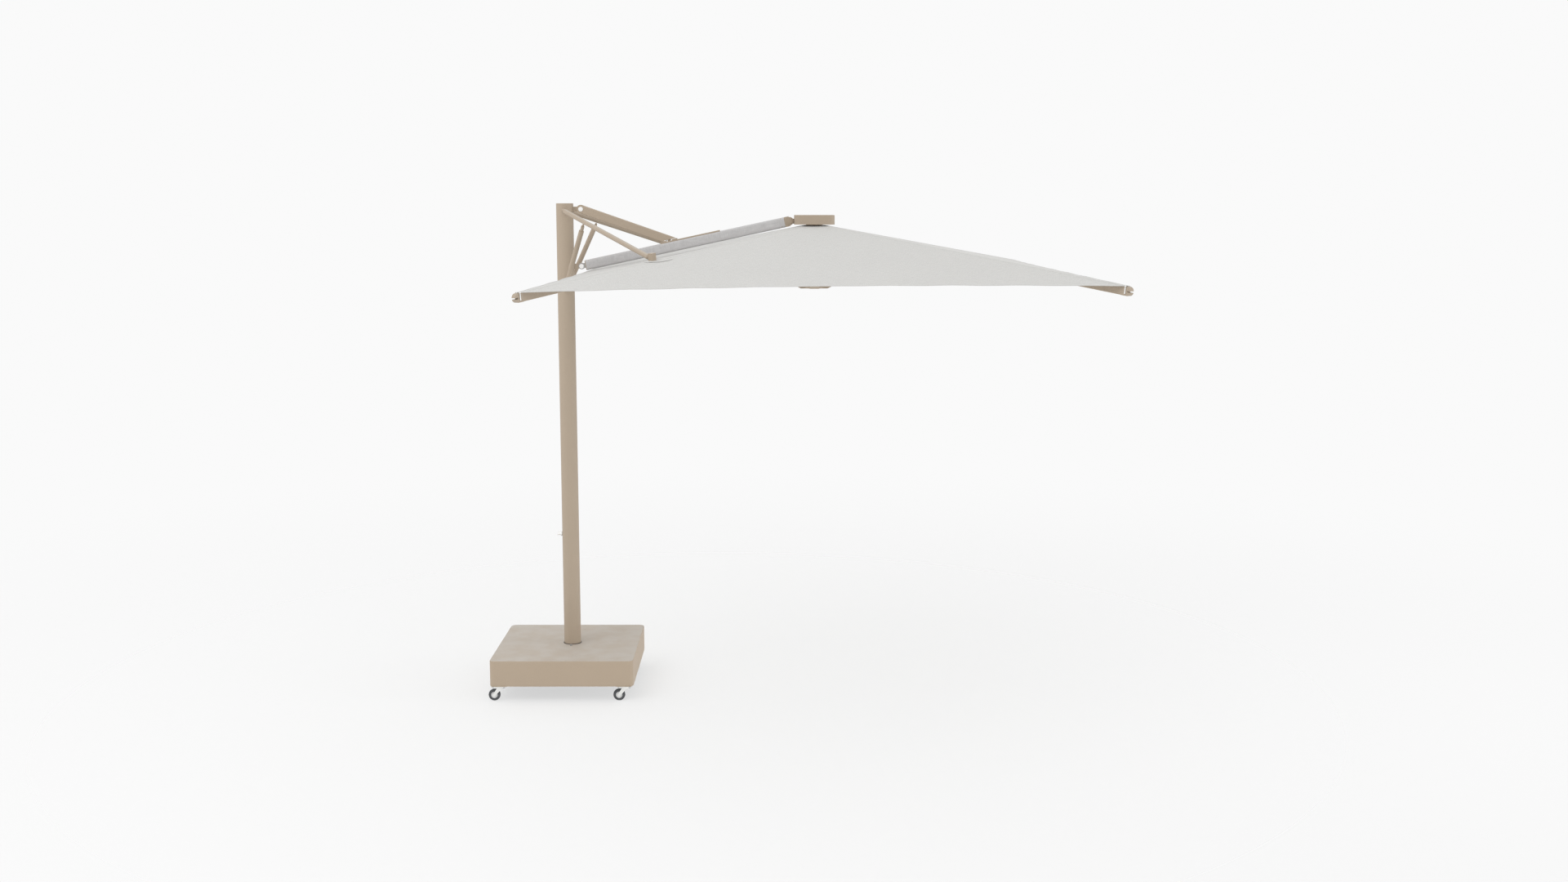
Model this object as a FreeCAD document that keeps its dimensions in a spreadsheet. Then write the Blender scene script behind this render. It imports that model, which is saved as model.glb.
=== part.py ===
import FreeCAD, Part
import math
import os
import Sketcher
from FreeCAD import Placement, Rotation, Vector

# A cantilever parasol: a weighted base on castors, a turning mast, a lifting arm above the
# canopy and a rectangular canopy on four ribs. The mast's axis at the floor is the origin,
# +X points from the mast to the canopy's middle, +Z is up, and sizes are in millimetres.

doc = FreeCAD.newDocument("cantilever_parasol")
sheet = doc.addObject("Spreadsheet::Sheet", "Sizes")

SIZES = {
    # base
    "base_length": 870, "base_width": 880, "base_height": 158, "base_wall": 3,
    "base_corner": 35, "base_edge": 5, "base_shift": -18,
    "ballast_gap": 12, "ballast_height": 120, "chassis_thick": 6,
    # castors
    "castor_height": 96, "castor_spread_x": 379, "castor_spread_y": 402,
    "plate_size": 92, "plate_thick": 3, "wheel_radius": 36, "wheel_width": 22,
    "castor_trail": 32, "fork_wall": 3, "fork_gap": 2, "axle_radius": 4,
    "screw_radius": 4, "screw_head": 7, "screw_head_height": 4,
    # mast
    "mast_radius": 52, "mast_wall": 4, "mast_height": 2730, "foot_ring_height": 3,
    "spigot_height": 380, "spigot_wall": 8, "flange_radius": 110, "flange_thick": 10,
    "cap_thick": 8, "cap_depth": 30, "run_clear": 0.08, "slide_clear": 0.5,
    # winch
    "winch_height": 698, "spindle_radius": 10, "spindle_reach": 30, "spindle_bore": 6.5,
    "socket_depth": 18, "case_length": 120, "case_width": 60, "case_depth": 44,
    # lock button beside the mast
    "button_radius": 7, "button_rise": 9, "button_travel": 6, "button_place": 84,
    # arm
    "pivot_reach": 98, "arm_pivot_drop": 371, "strut_pivot_drop": 27,
    "arm_rise": 12.1, "arm_height": 58, "arm_width": 46, "arm_wall": 3,
    "eye_radius": 19, "tongue_thick": 12, "fork_width": 30, "pin_radius": 8, "pin_head": 14,
    "lug_gap": 1, "eye_clear": 6, "sleeve_gap": 0.6, "sleeve_thick": 2,
    "track_start": 500, "track_length": 370, "track_width": 38, "track_height": 8,
    "track_wall": 3, "slider_length": 104, "slider_back": 35, "cheek_thick": 4,
    "slider_place": 553.8, "slider_pin_rise": 44, "slider_pin_radius": 5,
    "knuckle_length": 29, "knuckle_height": 60,
    # main strut
    "strut_height": 52, "strut_wall": 3, "strut_round": 6, "strut_lift": 2, "strut_tail": 92,
    "hook_room": 8, "hook_wall": 6,
    # hub
    "hub_offset": 150, "hub_size": 244, "hub_height": 57, "hub_drop": 19.6,
    "hub_corner": 45, "hub_wall": 5, "neck_radius": 50, "spider_radius": 78,
    "spider_height": 44, "rib_pivot_radius": 110, "rib_root_gap": 9.6, "rib_pin_radius": 5, "rib_lug_thick": 5,
    # ribs and canopy
    "canopy_length": 3000, "canopy_width": 4000, "canopy_gap": 15, "eave_drop": 58,
    "eave_step": 32, "canopy_rise": 7, "canopy_thick": 1.2, "canopy_hole": 95, "eave_dip_long": 110,
    "eave_dip_short": 75, "rib_height": 46, "rib_width": 24, "rib_wall": 2,
    "rib_below": 3, "rib_over": 25, "tip_length": 60, "rib_end_radius": 20,
    # rib struts and runner
    "brace_place": 450, "brace_below": 11.5, "brace_radius": 9,
    "brace_eye": 11, "brace_flat": 45, "brace_eye_width": 12, "runner_drop": 330, "runner_ear": 90,
    "runner_radius": 66, "runner_height": 36, "wing_reach": 150, "wing_taper": 68,
    "wing_half": 35, "wing_thick": 34,
    # side rods and gas springs
    "rod_place": 1390, "rod_lug_rise": 48, "rod_radius": 14, "rod_wall": 2,
    "rod_root_drop": 35, "side_root_reach": 66, "ball_radius": 11, "boss_radius": 7,
    "saddle_long": 32, "saddle_wide": 30, "saddle_above": 20,
    "gas_root_drop": 514, "gas_place": 330, "gas_drop": 2.5, "gas_radius": 12.6,
    "gas_rod_radius": 5, "gas_wall": 1.2, "gas_length": 290, "gas_cap": 12,
    "gas_stroke": 160, "shroud_radius": 15, "shroud_wall": 1.2, "shroud_length": 285,
    "shroud_neck": 44, "collar_radius": 10,
    "fabric_clear": 3,
}

# levels and reaches that follow the sizes above
FOLLOWING = {
    "mast_top": "castor_height + base_height + mast_height",
    "arm_pivot_height": "mast_top - arm_pivot_drop",
    "strut_pivot_height": "mast_top - strut_pivot_drop",
    "rod_root_height": "mast_top - rod_root_drop",
    "gas_root_height": "mast_top - gas_root_drop",
    "hub_reach": "canopy_length / 2 + canopy_gap",
    "arm_length": "(hub_reach - hub_offset - pivot_reach) / cos(arm_rise)",
    "hub_bottom": "arm_pivot_height + arm_length * sin(arm_rise) - hub_drop",
    "canopy_top": "hub_bottom + canopy_rise",
    "eave_left": "arm_pivot_height - eave_drop",
    "eave_right": "eave_left + eave_step",
    "rib_pivot_height": "hub_bottom - rib_height / 2 - rib_root_gap",
    "brace_drop": "rib_height / 2 + brace_below",
}

cells = {**SIZES, **{alias: "=" + rule for alias, rule in FOLLOWING.items()}}
for row, (alias, entry) in enumerate(cells.items(), start=1):
    sheet.set(f"A{row}", alias)
    sheet.set(f"B{row}", str(entry))
    sheet.setAlias(f"B{row}", alias)
doc.recompute()


def size(alias):
    """The value of one cell of the sheet."""
    return float(sheet.get(alias))


def bind(thing, **expressions):
    """Tie properties of an object to the sheet."""
    for prop, expression in expressions.items():
        thing.setExpression(prop, expression)
    return thing


subparts = {}


def keep(thing, label, place=None):
    """Name an object as a sub-part and set it in its place."""
    thing.Label = label
    if place is not None:
        thing.Placement = place
    subparts[label] = thing
    return thing


def at(x, y, z):
    return Placement(Vector(x, y, z), Rotation())


def along(start, end, up=Vector(0, 0, 1)):
    """A placement whose local X runs from start to end, with local Z as near up as it can be."""
    x_dir = (end - start).normalize()
    y_dir = up.cross(x_dir).normalize()
    z_dir = x_dir.cross(y_dir)
    turn = Rotation(x_dir, y_dir, z_dir, "XYZ")
    return Placement(start, turn)


# Part primitives

def block(name, length, width, height, corner):
    """A box whose sizes are sheet expressions, with its low corner at a point."""
    thing = doc.addObject("Part::Box", name)
    bind(thing, Length=length, Width=width, Height=height)
    thing.Placement = at(*corner)
    return thing


TURNS = {
    "x": Rotation(Vector(0, 1, 0), 90),
    "y": Rotation(Vector(1, 0, 0), -90),
    "z": Rotation(),
}


def rod(name, radius, length, start, axis="z"):
    """A cylinder whose sizes are sheet expressions, along an axis from a point."""
    thing = doc.addObject("Part::Cylinder", name)
    bind(thing, Radius=radius, Height=length)
    thing.Placement = Placement(Vector(*start), TURNS[axis])
    return thing


def fuse(name, *shapes):
    thing = doc.addObject("Part::MultiFuse", name)
    thing.Shapes = list(shapes)
    return thing


def cut(name, base, *tools):
    thing = doc.addObject("Part::Cut", name)
    thing.Base = base
    thing.Tool = tools[0] if len(tools) == 1 else fuse(name + "_tools", *tools)
    return thing


def group(name, *shapes):
    """Separate solids that share one node."""
    thing = doc.addObject("Part::Compound", name)
    thing.Links = list(shapes)
    return thing


# PartDesign bodies

def plane(body, role):
    return next(f for f in body.Origin.OriginFeatures if f.Role == role)


def sketch_on(body, role, name, lift=None):
    sketch = body.newObject("Sketcher::SketchObject", name)
    sketch.AttachmentSupport = [(plane(body, role), "")]
    sketch.MapMode = "FlatFace"
    if lift is not None:
        sketch.setExpression("AttachmentOffset.Base.z", lift)
    return sketch


def dimension(sketch, constraint, name, expression):
    index = sketch.addConstraint(constraint)
    sketch.renameConstraint(index, name)
    sketch.setExpression(f"Constraints.{name}", expression)


def rectangle(sketch, name, wide, tall):
    """A rectangle centred on the sketch's origin."""
    first = sketch.GeometryCount
    corners = [Vector(-5, -5), Vector(5, -5), Vector(5, 5), Vector(-5, 5)]
    for i in range(4):
        sketch.addGeometry(Part.LineSegment(corners[i], corners[(i + 1) % 4]))
    for i in range(4):
        sketch.addConstraint(
            Sketcher.Constraint("Coincident", first + i, 2, first + (i + 1) % 4, 1))
    for i in (0, 2):
        sketch.addConstraint(Sketcher.Constraint("Horizontal", first + i))
        sketch.addConstraint(Sketcher.Constraint("Vertical", first + i + 1))
    sketch.addConstraint(Sketcher.Constraint("Symmetric", first, 1, first + 1, 2, -1, 1))
    dimension(sketch, Sketcher.Constraint("DistanceX", first, 1, first, 2, 10),
              name + "_wide", wide)
    dimension(sketch, Sketcher.Constraint("DistanceY", first + 1, 1, first + 1, 2, 10),
              name + "_tall", tall)


def circle(sketch, name, radius):
    """A circle centred on the sketch's origin."""
    index = sketch.addGeometry(Part.Circle(Vector(0, 0, 0), Vector(0, 0, 1), 5))
    sketch.addConstraint(Sketcher.Constraint("Coincident", index, 3, -1, 1))
    dimension(sketch, Sketcher.Constraint("Radius", index, 5), name, radius)


def pad(body, sketch, name, length):
    feature = body.newObject("PartDesign::Pad", name)
    feature.Profile = sketch
    feature.setExpression("Length", length)
    body.Tip = feature
    return feature


def pocket(body, sketch, name, length=None, reverse=False):
    """Cut a sketch into the body: to a length, or right through."""
    doc.recompute()
    before = body.Shape.Volume
    feature = body.newObject("PartDesign::Pocket", name)
    feature.Profile = sketch
    if length is None:
        feature.Type = 1
        feature.Midplane = True
    else:
        feature.setExpression("Length", length)
    feature.Reversed = reverse
    body.Tip = feature
    doc.recompute()
    if not body.Shape.Volume < before - 1:
        raise RuntimeError(f"{name} cuts nothing from {body.Name}")
    return feature


def round_edges(body, feature, name, radius, chosen):
    """Fillet the edges of a feature that a test picks."""
    doc.recompute()
    names = [f"Edge{i}" for i, edge in enumerate(feature.Shape.Edges, start=1) if chosen(edge)]
    fillet = body.newObject("PartDesign::Fillet", name)
    fillet.Base = (feature, names)
    fillet.setExpression("Radius", radius)
    body.Tip = fillet
    doc.recompute()
    return fillet


def runs_along(edge, axis):
    """Whether a straight edge lies along a direction."""
    if not isinstance(edge.Curve, Part.Line):
        return False
    return abs(abs(edge.Curve.Direction.dot(axis)) - 1) < 1e-6


def bar(name, length, wide, tall, corner, wall=None):
    """A bar along local X with rounded long edges, hollow where a wall is given."""
    body = doc.addObject("PartDesign::Body", name)
    outline = sketch_on(body, "YZ_Plane", name + "_outline")
    rectangle(outline, "outer", wide, tall)
    solid = pad(body, outline, name + "_pad", length)
    round_edges(body, solid, name + "_round", corner, lambda e: runs_along(e, Vector(1, 0, 0)))
    if wall is not None:
        hollow = sketch_on(body, "YZ_Plane", name + "_hollow")
        rectangle(hollow, "inner", f"{wide} - 2 * {wall}", f"{tall} - 2 * {wall}")
        pocket(body, hollow, name + "_bore", f"{length} + 2", reverse=True)
    return body


def pipe(name, length, radius, bore=None):
    """A round tube along local X."""
    body = doc.addObject("PartDesign::Body", name)
    outline = sketch_on(body, "YZ_Plane", name + "_outline")
    circle(outline, "outer", radius)
    if bore is not None:
        circle(outline, "inner", bore)
    pad(body, outline, name + "_pad", length)
    return body


S = "Sizes."
base_bottom = size("castor_height")
base_top = base_bottom + size("base_height")


# ---------------------------------------------------------------- base

def rounded_block(name, long, wide, tall, corner):
    """A block centred on the origin in plan, standing on it, with rounded upright edges."""
    body = doc.addObject("PartDesign::Body", name)
    outline = sketch_on(body, "XY_Plane", name + "_outline")
    rectangle(outline, "outer", long, wide)
    solid = pad(body, outline, name + "_pad", tall)
    sides = round_edges(body, solid, name + "_corners", corner,
                        lambda e: runs_along(e, Vector(0, 0, 1)))
    return body, sides


def top_rim(edge, level):
    return min(v.Z for v in edge.Vertexes) > level - 0.01


def make_base():
    """The base's shell: a rounded box open underneath, with holes for the mast and the button."""
    shell, sides = rounded_block("shell_outer", S + "base_length", S + "base_width",
                                 S + "base_height", S + "base_corner")
    round_edges(shell, sides, "shell_edge", S + "base_edge",
                lambda e: top_rim(e, size("base_height")))
    shell.Placement = at(size("base_shift"), 0, base_bottom)
    room, _ = rounded_block("shell_room", S + "base_length - 2 * Sizes.base_wall",
                            S + "base_width - 2 * Sizes.base_wall",
                            S + "base_height - Sizes.base_wall + 1",
                            S + "base_corner - Sizes.base_wall")
    room.Placement = at(size("base_shift"), 0, base_bottom - 1)
    hole = rod("shell_hole", S + "mast_radius - Sizes.mast_wall + 1", S + "base_height * 2",
               (0, 0, base_bottom))
    button_hole = rod("button_hole", S + "button_radius + Sizes.slide_clear",
                      S + "base_height * 2", (0, -size("button_place"), base_bottom))
    keep(cut("shell_cut", shell, room, hole, button_hole), "base_shell")


def make_chassis():
    """The steel plate that carries the ballast and the castors."""
    plate, _ = rounded_block("chassis", S + "base_length - 2 * Sizes.base_wall - 1",
                             S + "base_width - 2 * Sizes.base_wall - 1",
                             S + "chassis_thick", S + "base_corner - Sizes.base_wall - 0.5")
    keep(plate, "chassis_plate", at(size("base_shift"), 0, base_bottom))


def make_ballast():
    """Four concrete blocks on the chassis, clear of the mast's flange and the shell."""
    floor = base_bottom + size("chassis_thick")
    gap = size("ballast_gap") / 2
    spare = size("base_corner") + size("ballast_gap")
    long = size("base_length") / 2 - spare
    wide = size("base_width") / 2 - spare
    well = rod("ballast_well", S + "flange_radius + Sizes.ballast_gap",
               S + "ballast_height * 2", (0, 0, floor - 1))
    blocks = []
    for i, (sx, sy) in enumerate(((-1, -1), (1, -1), (1, 1), (-1, 1)), start=1):
        x_low = size("base_shift") + (gap if sx > 0 else -gap - long)
        y_low = gap if sy > 0 else -gap - wide
        blank = block(f"ballast_blank_{i}",
                      "(Sizes.base_length / 2 - Sizes.base_corner - Sizes.ballast_gap)",
                      "(Sizes.base_width / 2 - Sizes.base_corner - Sizes.ballast_gap)",
                      S + "ballast_height", (x_low, y_low, floor))
        blocks.append(cut(f"ballast_{i}", blank, well))
    keep(group("ballast_group", *blocks), "ballast_blocks")


def make_socket():
    """The steel socket that the mast turns on, bolted to the chassis."""
    floor = base_bottom + size("chassis_thick")
    flange = rod("socket_flange", S + "flange_radius", S + "flange_thick", (0, 0, floor))
    post_height = "(Sizes.base_height - Sizes.chassis_thick + Sizes.spigot_height)"
    outer = "(Sizes.mast_radius - Sizes.mast_wall - Sizes.run_clear)"
    post = rod("socket_post", outer, post_height, (0, 0, floor))
    bore = rod("socket_bore", outer + " - Sizes.spigot_wall", post_height + " * 2",
               (0, 0, floor + size("flange_thick")))
    blank = cut("socket_blank", fuse("socket_solid", flange, post), bore)
    holes = []
    bolts = []
    circle_radius = (size("flange_radius") + size("mast_radius")) / 2
    for i in range(6):
        turn = math.radians(60 * i + 30)
        x = circle_radius * math.cos(turn)
        y = circle_radius * math.sin(turn)
        holes.append(rod(f"socket_hole_{i}", S + "screw_radius", S + "flange_thick * 3",
                         (x, y, floor - size("flange_thick"))))
        shank = rod(f"socket_shank_{i}", S + "screw_radius", S + "flange_thick", (x, y, floor))
        head = rod(f"socket_head_{i}", S + "screw_head", S + "screw_head_height",
                   (x, y, floor + size("flange_thick")))
        bolts.append(fuse(f"socket_bolt_{i}", shank, head))
    keep(cut("socket_cut", blank, *holes), "mast_socket")
    keep(group("socket_bolt_group", *bolts), "socket_bolts")
    ring_out = rod("ring_out", S + "mast_radius + 4", S + "foot_ring_height - 0.3",
                   (0, 0, base_top))
    ring_in = rod("ring_in", S + "mast_radius - Sizes.mast_wall + 1", S + "base_height",
                  (0, 0, base_top - 1))
    keep(cut("ring_cut", ring_out, ring_in), "foot_ring")


def castor_places():
    dx = size("castor_spread_x")
    dy = size("castor_spread_y")
    signs = ((-1, -1), (1, -1), (1, 1), (-1, 1))
    return [(size("base_shift") + sx * dx, sy * dy) for sx, sy in signs]


def make_castors():
    plates = []
    screws = []
    half = size("plate_size") / 2
    plate_low = base_bottom - size("plate_thick")
    hole_reach = half - 12
    for number, (x, y) in enumerate(castor_places(), start=1):
        blank = block(f"plate_blank_{number}", S + "plate_size", S + "plate_size",
                      S + "plate_thick", (x - half, y - half, plate_low))
        holes = []
        for i, (sx, sy) in enumerate(((-1, -1), (1, -1), (1, 1), (-1, 1))):
            px = x + sx * hole_reach
            py = y + sy * hole_reach
            name = f"{number}_{i}"
            holes.append(rod("plate_hole_" + name, S + "screw_radius", S + "plate_thick * 3",
                             (px, py, plate_low - size("plate_thick"))))
            shank = rod("plate_shank_" + name, S + "screw_radius", S + "plate_thick",
                        (px, py, plate_low))
            head = rod("plate_head_" + name, S + "screw_head", S + "screw_head_height",
                       (px, py, plate_low - size("screw_head_height")))
            screws.append(fuse("plate_screw_" + name, shank, head))
        plates.append(cut(f"plate_{number}", blank, *holes))
        make_fork(number, x, y, plate_low)
        make_wheel(number, x, y)
    keep(group("plate_group", *plates), "castor_plates")
    keep(group("plate_screw_group", *screws), "castor_screws")


def make_fork(number, x, y, plate_low):
    """A bent steel fork that swivels under its plate, with the wheel's axle riveted in it."""
    gap = 1
    wall = size("fork_wall")
    inner = size("wheel_width") / 2 + size("fork_gap")
    axle_x = x - size("castor_trail")
    crown_low = 2 * size("wheel_radius") + 2
    crown_thick = plate_low - gap - crown_low
    crown = doc.addObject("Part::Cylinder", f"crown_{number}")
    crown.Radius = inner + wall + 8
    crown.Height = crown_thick
    crown.Placement = at(x, y, crown_low)
    cheeks = []
    for side in (-1, 1):
        y_low = y + (inner if side > 0 else -inner - wall)
        foot = (axle_x, y_low, size("wheel_radius"))
        eye = rod(f"fork_eye_{number}_{side}", "Sizes.axle_radius * 2.5", S + "fork_wall", foot, "y")
        leg = doc.addObject("Part::Wedge", f"fork_leg_{number}_{side}")
        leg.Xmin = axle_x - 2.5 * size("axle_radius")
        leg.Xmax = axle_x + 2.5 * size("axle_radius")
        leg.X2min = x - inner - wall - 2
        leg.X2max = x + inner
        leg.Ymin = 0
        leg.Ymax = crown_low + 0.5 - size("wheel_radius")
        leg.Zmin = 0
        leg.Zmax = wall
        leg.Z2min = 0
        leg.Z2max = wall
        leg.Placement = Placement(Vector(0, y_low + wall, size("wheel_radius")),
                                  Rotation(Vector(1, 0, 0), 90))
        cheeks += [eye, leg]
    fork = fuse(f"fork_solid_{number}", crown, *cheeks)
    bore = rod(f"fork_bore_{number}", S + "axle_radius", S + "wheel_width * 3",
               (axle_x, y - 1.5 * size("wheel_width"), size("wheel_radius")), "y")
    axle = rod(f"axle_{number}", S + "axle_radius",
               "Sizes.wheel_width + 2 * (Sizes.fork_gap + Sizes.fork_wall)",
               (axle_x, y - inner - wall, size("wheel_radius")), "y")
    fork_cut = cut(f"fork_cut_{number}", fork, bore)
    keep(group(f"fork_group_{number}", fork_cut, axle), f"castor_fork_{number}")


def make_wheel(number, x, y):
    """A solid wheel with a rounded tread, turned about its axle."""
    body = doc.addObject("PartDesign::Body", f"wheel_{number}")
    profile = sketch_on(body, "XZ_Plane", f"wheel_profile_{number}")
    half = size("wheel_width") / 2
    bore = size("axle_radius") + size("run_clear")
    radius = size("wheel_radius")
    shoulder = radius - 5
    points = [Vector(bore, -half), Vector(shoulder, -half), Vector(shoulder, half),
              Vector(bore, half)]
    profile.addGeometry(Part.LineSegment(points[0], points[1]))
    profile.addGeometry(Part.Arc(points[1], Vector(radius, 0), points[2]))
    profile.addGeometry(Part.LineSegment(points[2], points[3]))
    profile.addGeometry(Part.LineSegment(points[3], points[0]))
    for i in range(4):
        profile.addConstraint(Sketcher.Constraint("Coincident", i, 2, (i + 1) % 4, 1))
    turn = body.newObject("PartDesign::Revolution", f"wheel_turn_{number}")
    turn.Profile = profile
    turn.ReferenceAxis = (profile, ["V_Axis"])
    turn.Angle = 360
    body.Tip = turn
    place = Placement(Vector(x - size("castor_trail"), y, radius), TURNS["y"])
    keep(body, f"castor_wheel_{number}", place)


# ---------------------------------------------------------------- mast

mast_foot = base_top + size("foot_ring_height")
mast_top = base_top + size("mast_height")


def make_mast():
    body = pipe("mast_body", S + "mast_height - Sizes.foot_ring_height",
                S + "mast_radius", S + "mast_radius - Sizes.mast_wall")
    body.Placement = Placement(Vector(0, 0, mast_foot), Rotation(Vector(0, 1, 0), -90))
    spindle_hole = rod("spindle_hole", S + "spindle_radius + Sizes.run_clear",
                       S + "mast_radius", (-size("mast_radius") - 5, 0, winch_level()), "x")
    keep(cut("mast_cut", body, spindle_hole), "mast_tube")
    lid = rod("cap_lid", S + "mast_radius", S + "cap_thick", (0, 0, mast_top))
    plug = rod("cap_plug", S + "mast_radius - Sizes.mast_wall", S + "cap_depth",
               (0, 0, mast_top - size("cap_depth")))
    keep(fuse("cap_solid", lid, plug), "mast_cap")


def winch_level():
    return base_top + size("winch_height")


def make_winch():
    level = winch_level()
    case = block("winch_block", S + "case_depth", S + "case_width", S + "case_length",
                 (-size("case_depth") / 2, -size("case_width") / 2, level - size("case_length") / 2))
    bore = rod("winch_bore", S + "spindle_radius + Sizes.run_clear", S + "case_depth * 0.8",
               (-size("case_depth") / 2 - 1, 0, level), "x")
    keep(cut("winch_cut", case, bore), "winch_case")
    reach = size("mast_radius") + size("spindle_reach")
    spindle = rod("spindle_blank", S + "spindle_radius",
                  "Sizes.mast_radius + Sizes.spindle_reach + Sizes.case_depth / 4",
                  (-reach, 0, level), "x")
    collar = rod("spindle_collar", S + "spindle_radius + 5", "5",
                 (-size("mast_radius") - 7, 0, level), "x")
    socket = rod("spindle_socket", S + "spindle_bore", S + "socket_depth", (-reach, 0, level), "x")
    keep(cut("spindle_cut", fuse("spindle_solid", spindle, collar), socket), "winch_spindle")


def make_button():
    """The push button on the base that frees the mast's turning lock."""
    y = -size("button_place")
    stem = rod("button_stem", S + "button_radius - 2", "30", (0, y, base_top - 30))
    head = rod("button_head", S + "button_radius", S + "button_rise + 2", (0, y, base_top - 2))
    keep(fuse("button_solid", stem, head), "lock_button")


def make_mast_brackets():
    """Steel tongues welded to the mast: one for the arm and one for the main strut."""
    reach = size("pivot_reach")
    thick = size("tongue_thick")
    for name, level in (("arm", size("arm_pivot_height")), ("strut", size("strut_pivot_height"))):
        eye = rod(name + "_tongue_eye", "Sizes.eye_radius * 0.8", S + "tongue_thick",
                  (reach, -thick / 2, level), "y")
        web = block(name + "_tongue_web", S + "pivot_reach", S + "tongue_thick",
                    "Sizes.eye_radius * 1.6", (0, -thick / 2, level - 0.8 * size("eye_radius")))
        mast = rod(name + "_tongue_mast", S + "mast_radius", "Sizes.eye_radius * 4",
                   (0, 0, level - 2 * size("eye_radius")))
        bore = rod(name + "_tongue_bore", S + "pin_radius", S + "tongue_thick * 2",
                   (reach, -thick, level), "y")
        solid = fuse(name + "_tongue_solid", eye, web)
        keep(cut(name + "_tongue_cut", solid, mast, bore), name + "_bracket")
        width = size("fork_width")
        shank = rod(name + "_pin_shank", S + "pin_radius", S + "fork_width",
                    (reach, -width / 2, level), "y")
        heads = [rod(f"{name}_pin_head_{side}", S + "pin_head", "2.5",
                     (reach, width / 2 + 0.2 if side > 0 else -width / 2 - 2.7, level), "y")
                 for side in (-1, 1)]
        necks = [rod(f"{name}_pin_neck_{side}", S + "pin_radius", "0.4",
                     (reach, width / 2 if side > 0 else -width / 2 - 0.4, level), "y")
                 for side in (-1, 1)]
        keep(fuse(name + "_pin_solid", shank, *heads, *necks), name + "_pin")


def side_root(side, level):
    return Vector(0, side * size("side_root_reach"), size(level))


def make_side_bosses():
    """Round bosses on the mast's sides, one under each ball of the side rods and gas springs."""
    bosses = []
    for side in (-1, 1):
        for level in ("rod_root_height", "gas_root_height"):
            turn = TURNS["y"] if side > 0 else Rotation(Vector(1, 0, 0), 90)
            boss = doc.addObject("Part::Cylinder", f"boss_{level}_{side + 1}")
            bind(boss, Radius=S + "boss_radius",
                 Height=S + "side_root_reach - Sizes.ball_radius - Sizes.slide_clear")
            boss.Placement = Placement(Vector(0, 0, size(level)), turn)
            mast = rod(f"boss_mast_{level}_{side + 1}", S + "mast_radius",
                       "Sizes.boss_radius * 4", (0, 0, size(level) - 2 * size("boss_radius")))
            bosses.append(cut(f"boss_cut_{level}_{side + 1}", boss, mast))
    keep(group("boss_group", *bosses), "side_bosses")


# ---------------------------------------------------------------- lifting arm and main strut

arm_root = Vector(size("pivot_reach"), 0, size("arm_pivot_height"))
rise = math.radians(size("arm_rise"))
arm_dir = Vector(math.cos(rise), 0, math.sin(rise))
arm_up = Vector(-math.sin(rise), 0, math.cos(rise))
arm_end = arm_root + arm_dir * size("arm_length")
arm_place = Placement(arm_root, Rotation(Vector(0, 1, 0), -size("arm_rise")))
strut_root = Vector(size("pivot_reach"), 0, size("strut_pivot_height"))
slider_pin = arm_root + arm_dir * size("slider_place") + arm_up * size("slider_pin_rise")


def fork_slot(name, length, back):
    """The room that a mast tongue needs in a fork, from a little behind the pin."""
    return block(name, length, S + "tongue_thick + 2 * Sizes.lug_gap", "200",
                 (back, -size("tongue_thick") / 2 - size("lug_gap"), -100))


def make_arm():
    """The arm's tube, with a cast fork plugged into its mast end."""
    start = size("eye_radius") + size("eye_clear")
    length = "(Sizes.arm_length - Sizes.knuckle_length - Sizes.eye_radius - Sizes.eye_clear)"
    tube = bar("arm_bar", length, S + "arm_width", S + "arm_height", "8", S + "arm_wall")
    keep(tube, "arm_tube",
         Placement(arm_place.multVec(Vector(start, 0, 0)), arm_place.Rotation))
    width = size("fork_width")
    eye = rod("arm_eye_round", S + "eye_radius", S + "fork_width", (0, -width / 2, 0), "y")
    shank = block("arm_eye_shank", S + "eye_radius + Sizes.eye_clear", S + "fork_width",
                  "Sizes.eye_radius * 1.6", (0, -width / 2, -0.8 * size("eye_radius")))
    room_wide = size("arm_width") - 2 * size("arm_wall") - 1
    room_tall = size("arm_height") - 2 * size("arm_wall") - 1
    plug = block("arm_eye_plug", "60", "(Sizes.arm_width - 2 * Sizes.arm_wall - 1)",
                 "(Sizes.arm_height - 2 * Sizes.arm_wall - 1)",
                 (start, -room_wide / 2, -room_tall / 2))
    bore = rod("arm_eye_bore", S + "pin_radius + Sizes.run_clear", S + "fork_width * 2",
               (0, -width, 0), "y")
    slot = fork_slot("arm_eye_slot", "60 + Sizes.eye_radius - 1", -60)
    solid = fuse("arm_eye_solid", eye, shank, plug)
    keep(cut("arm_eye_cut", solid, bore, slot), "arm_eye", arm_place)


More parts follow.
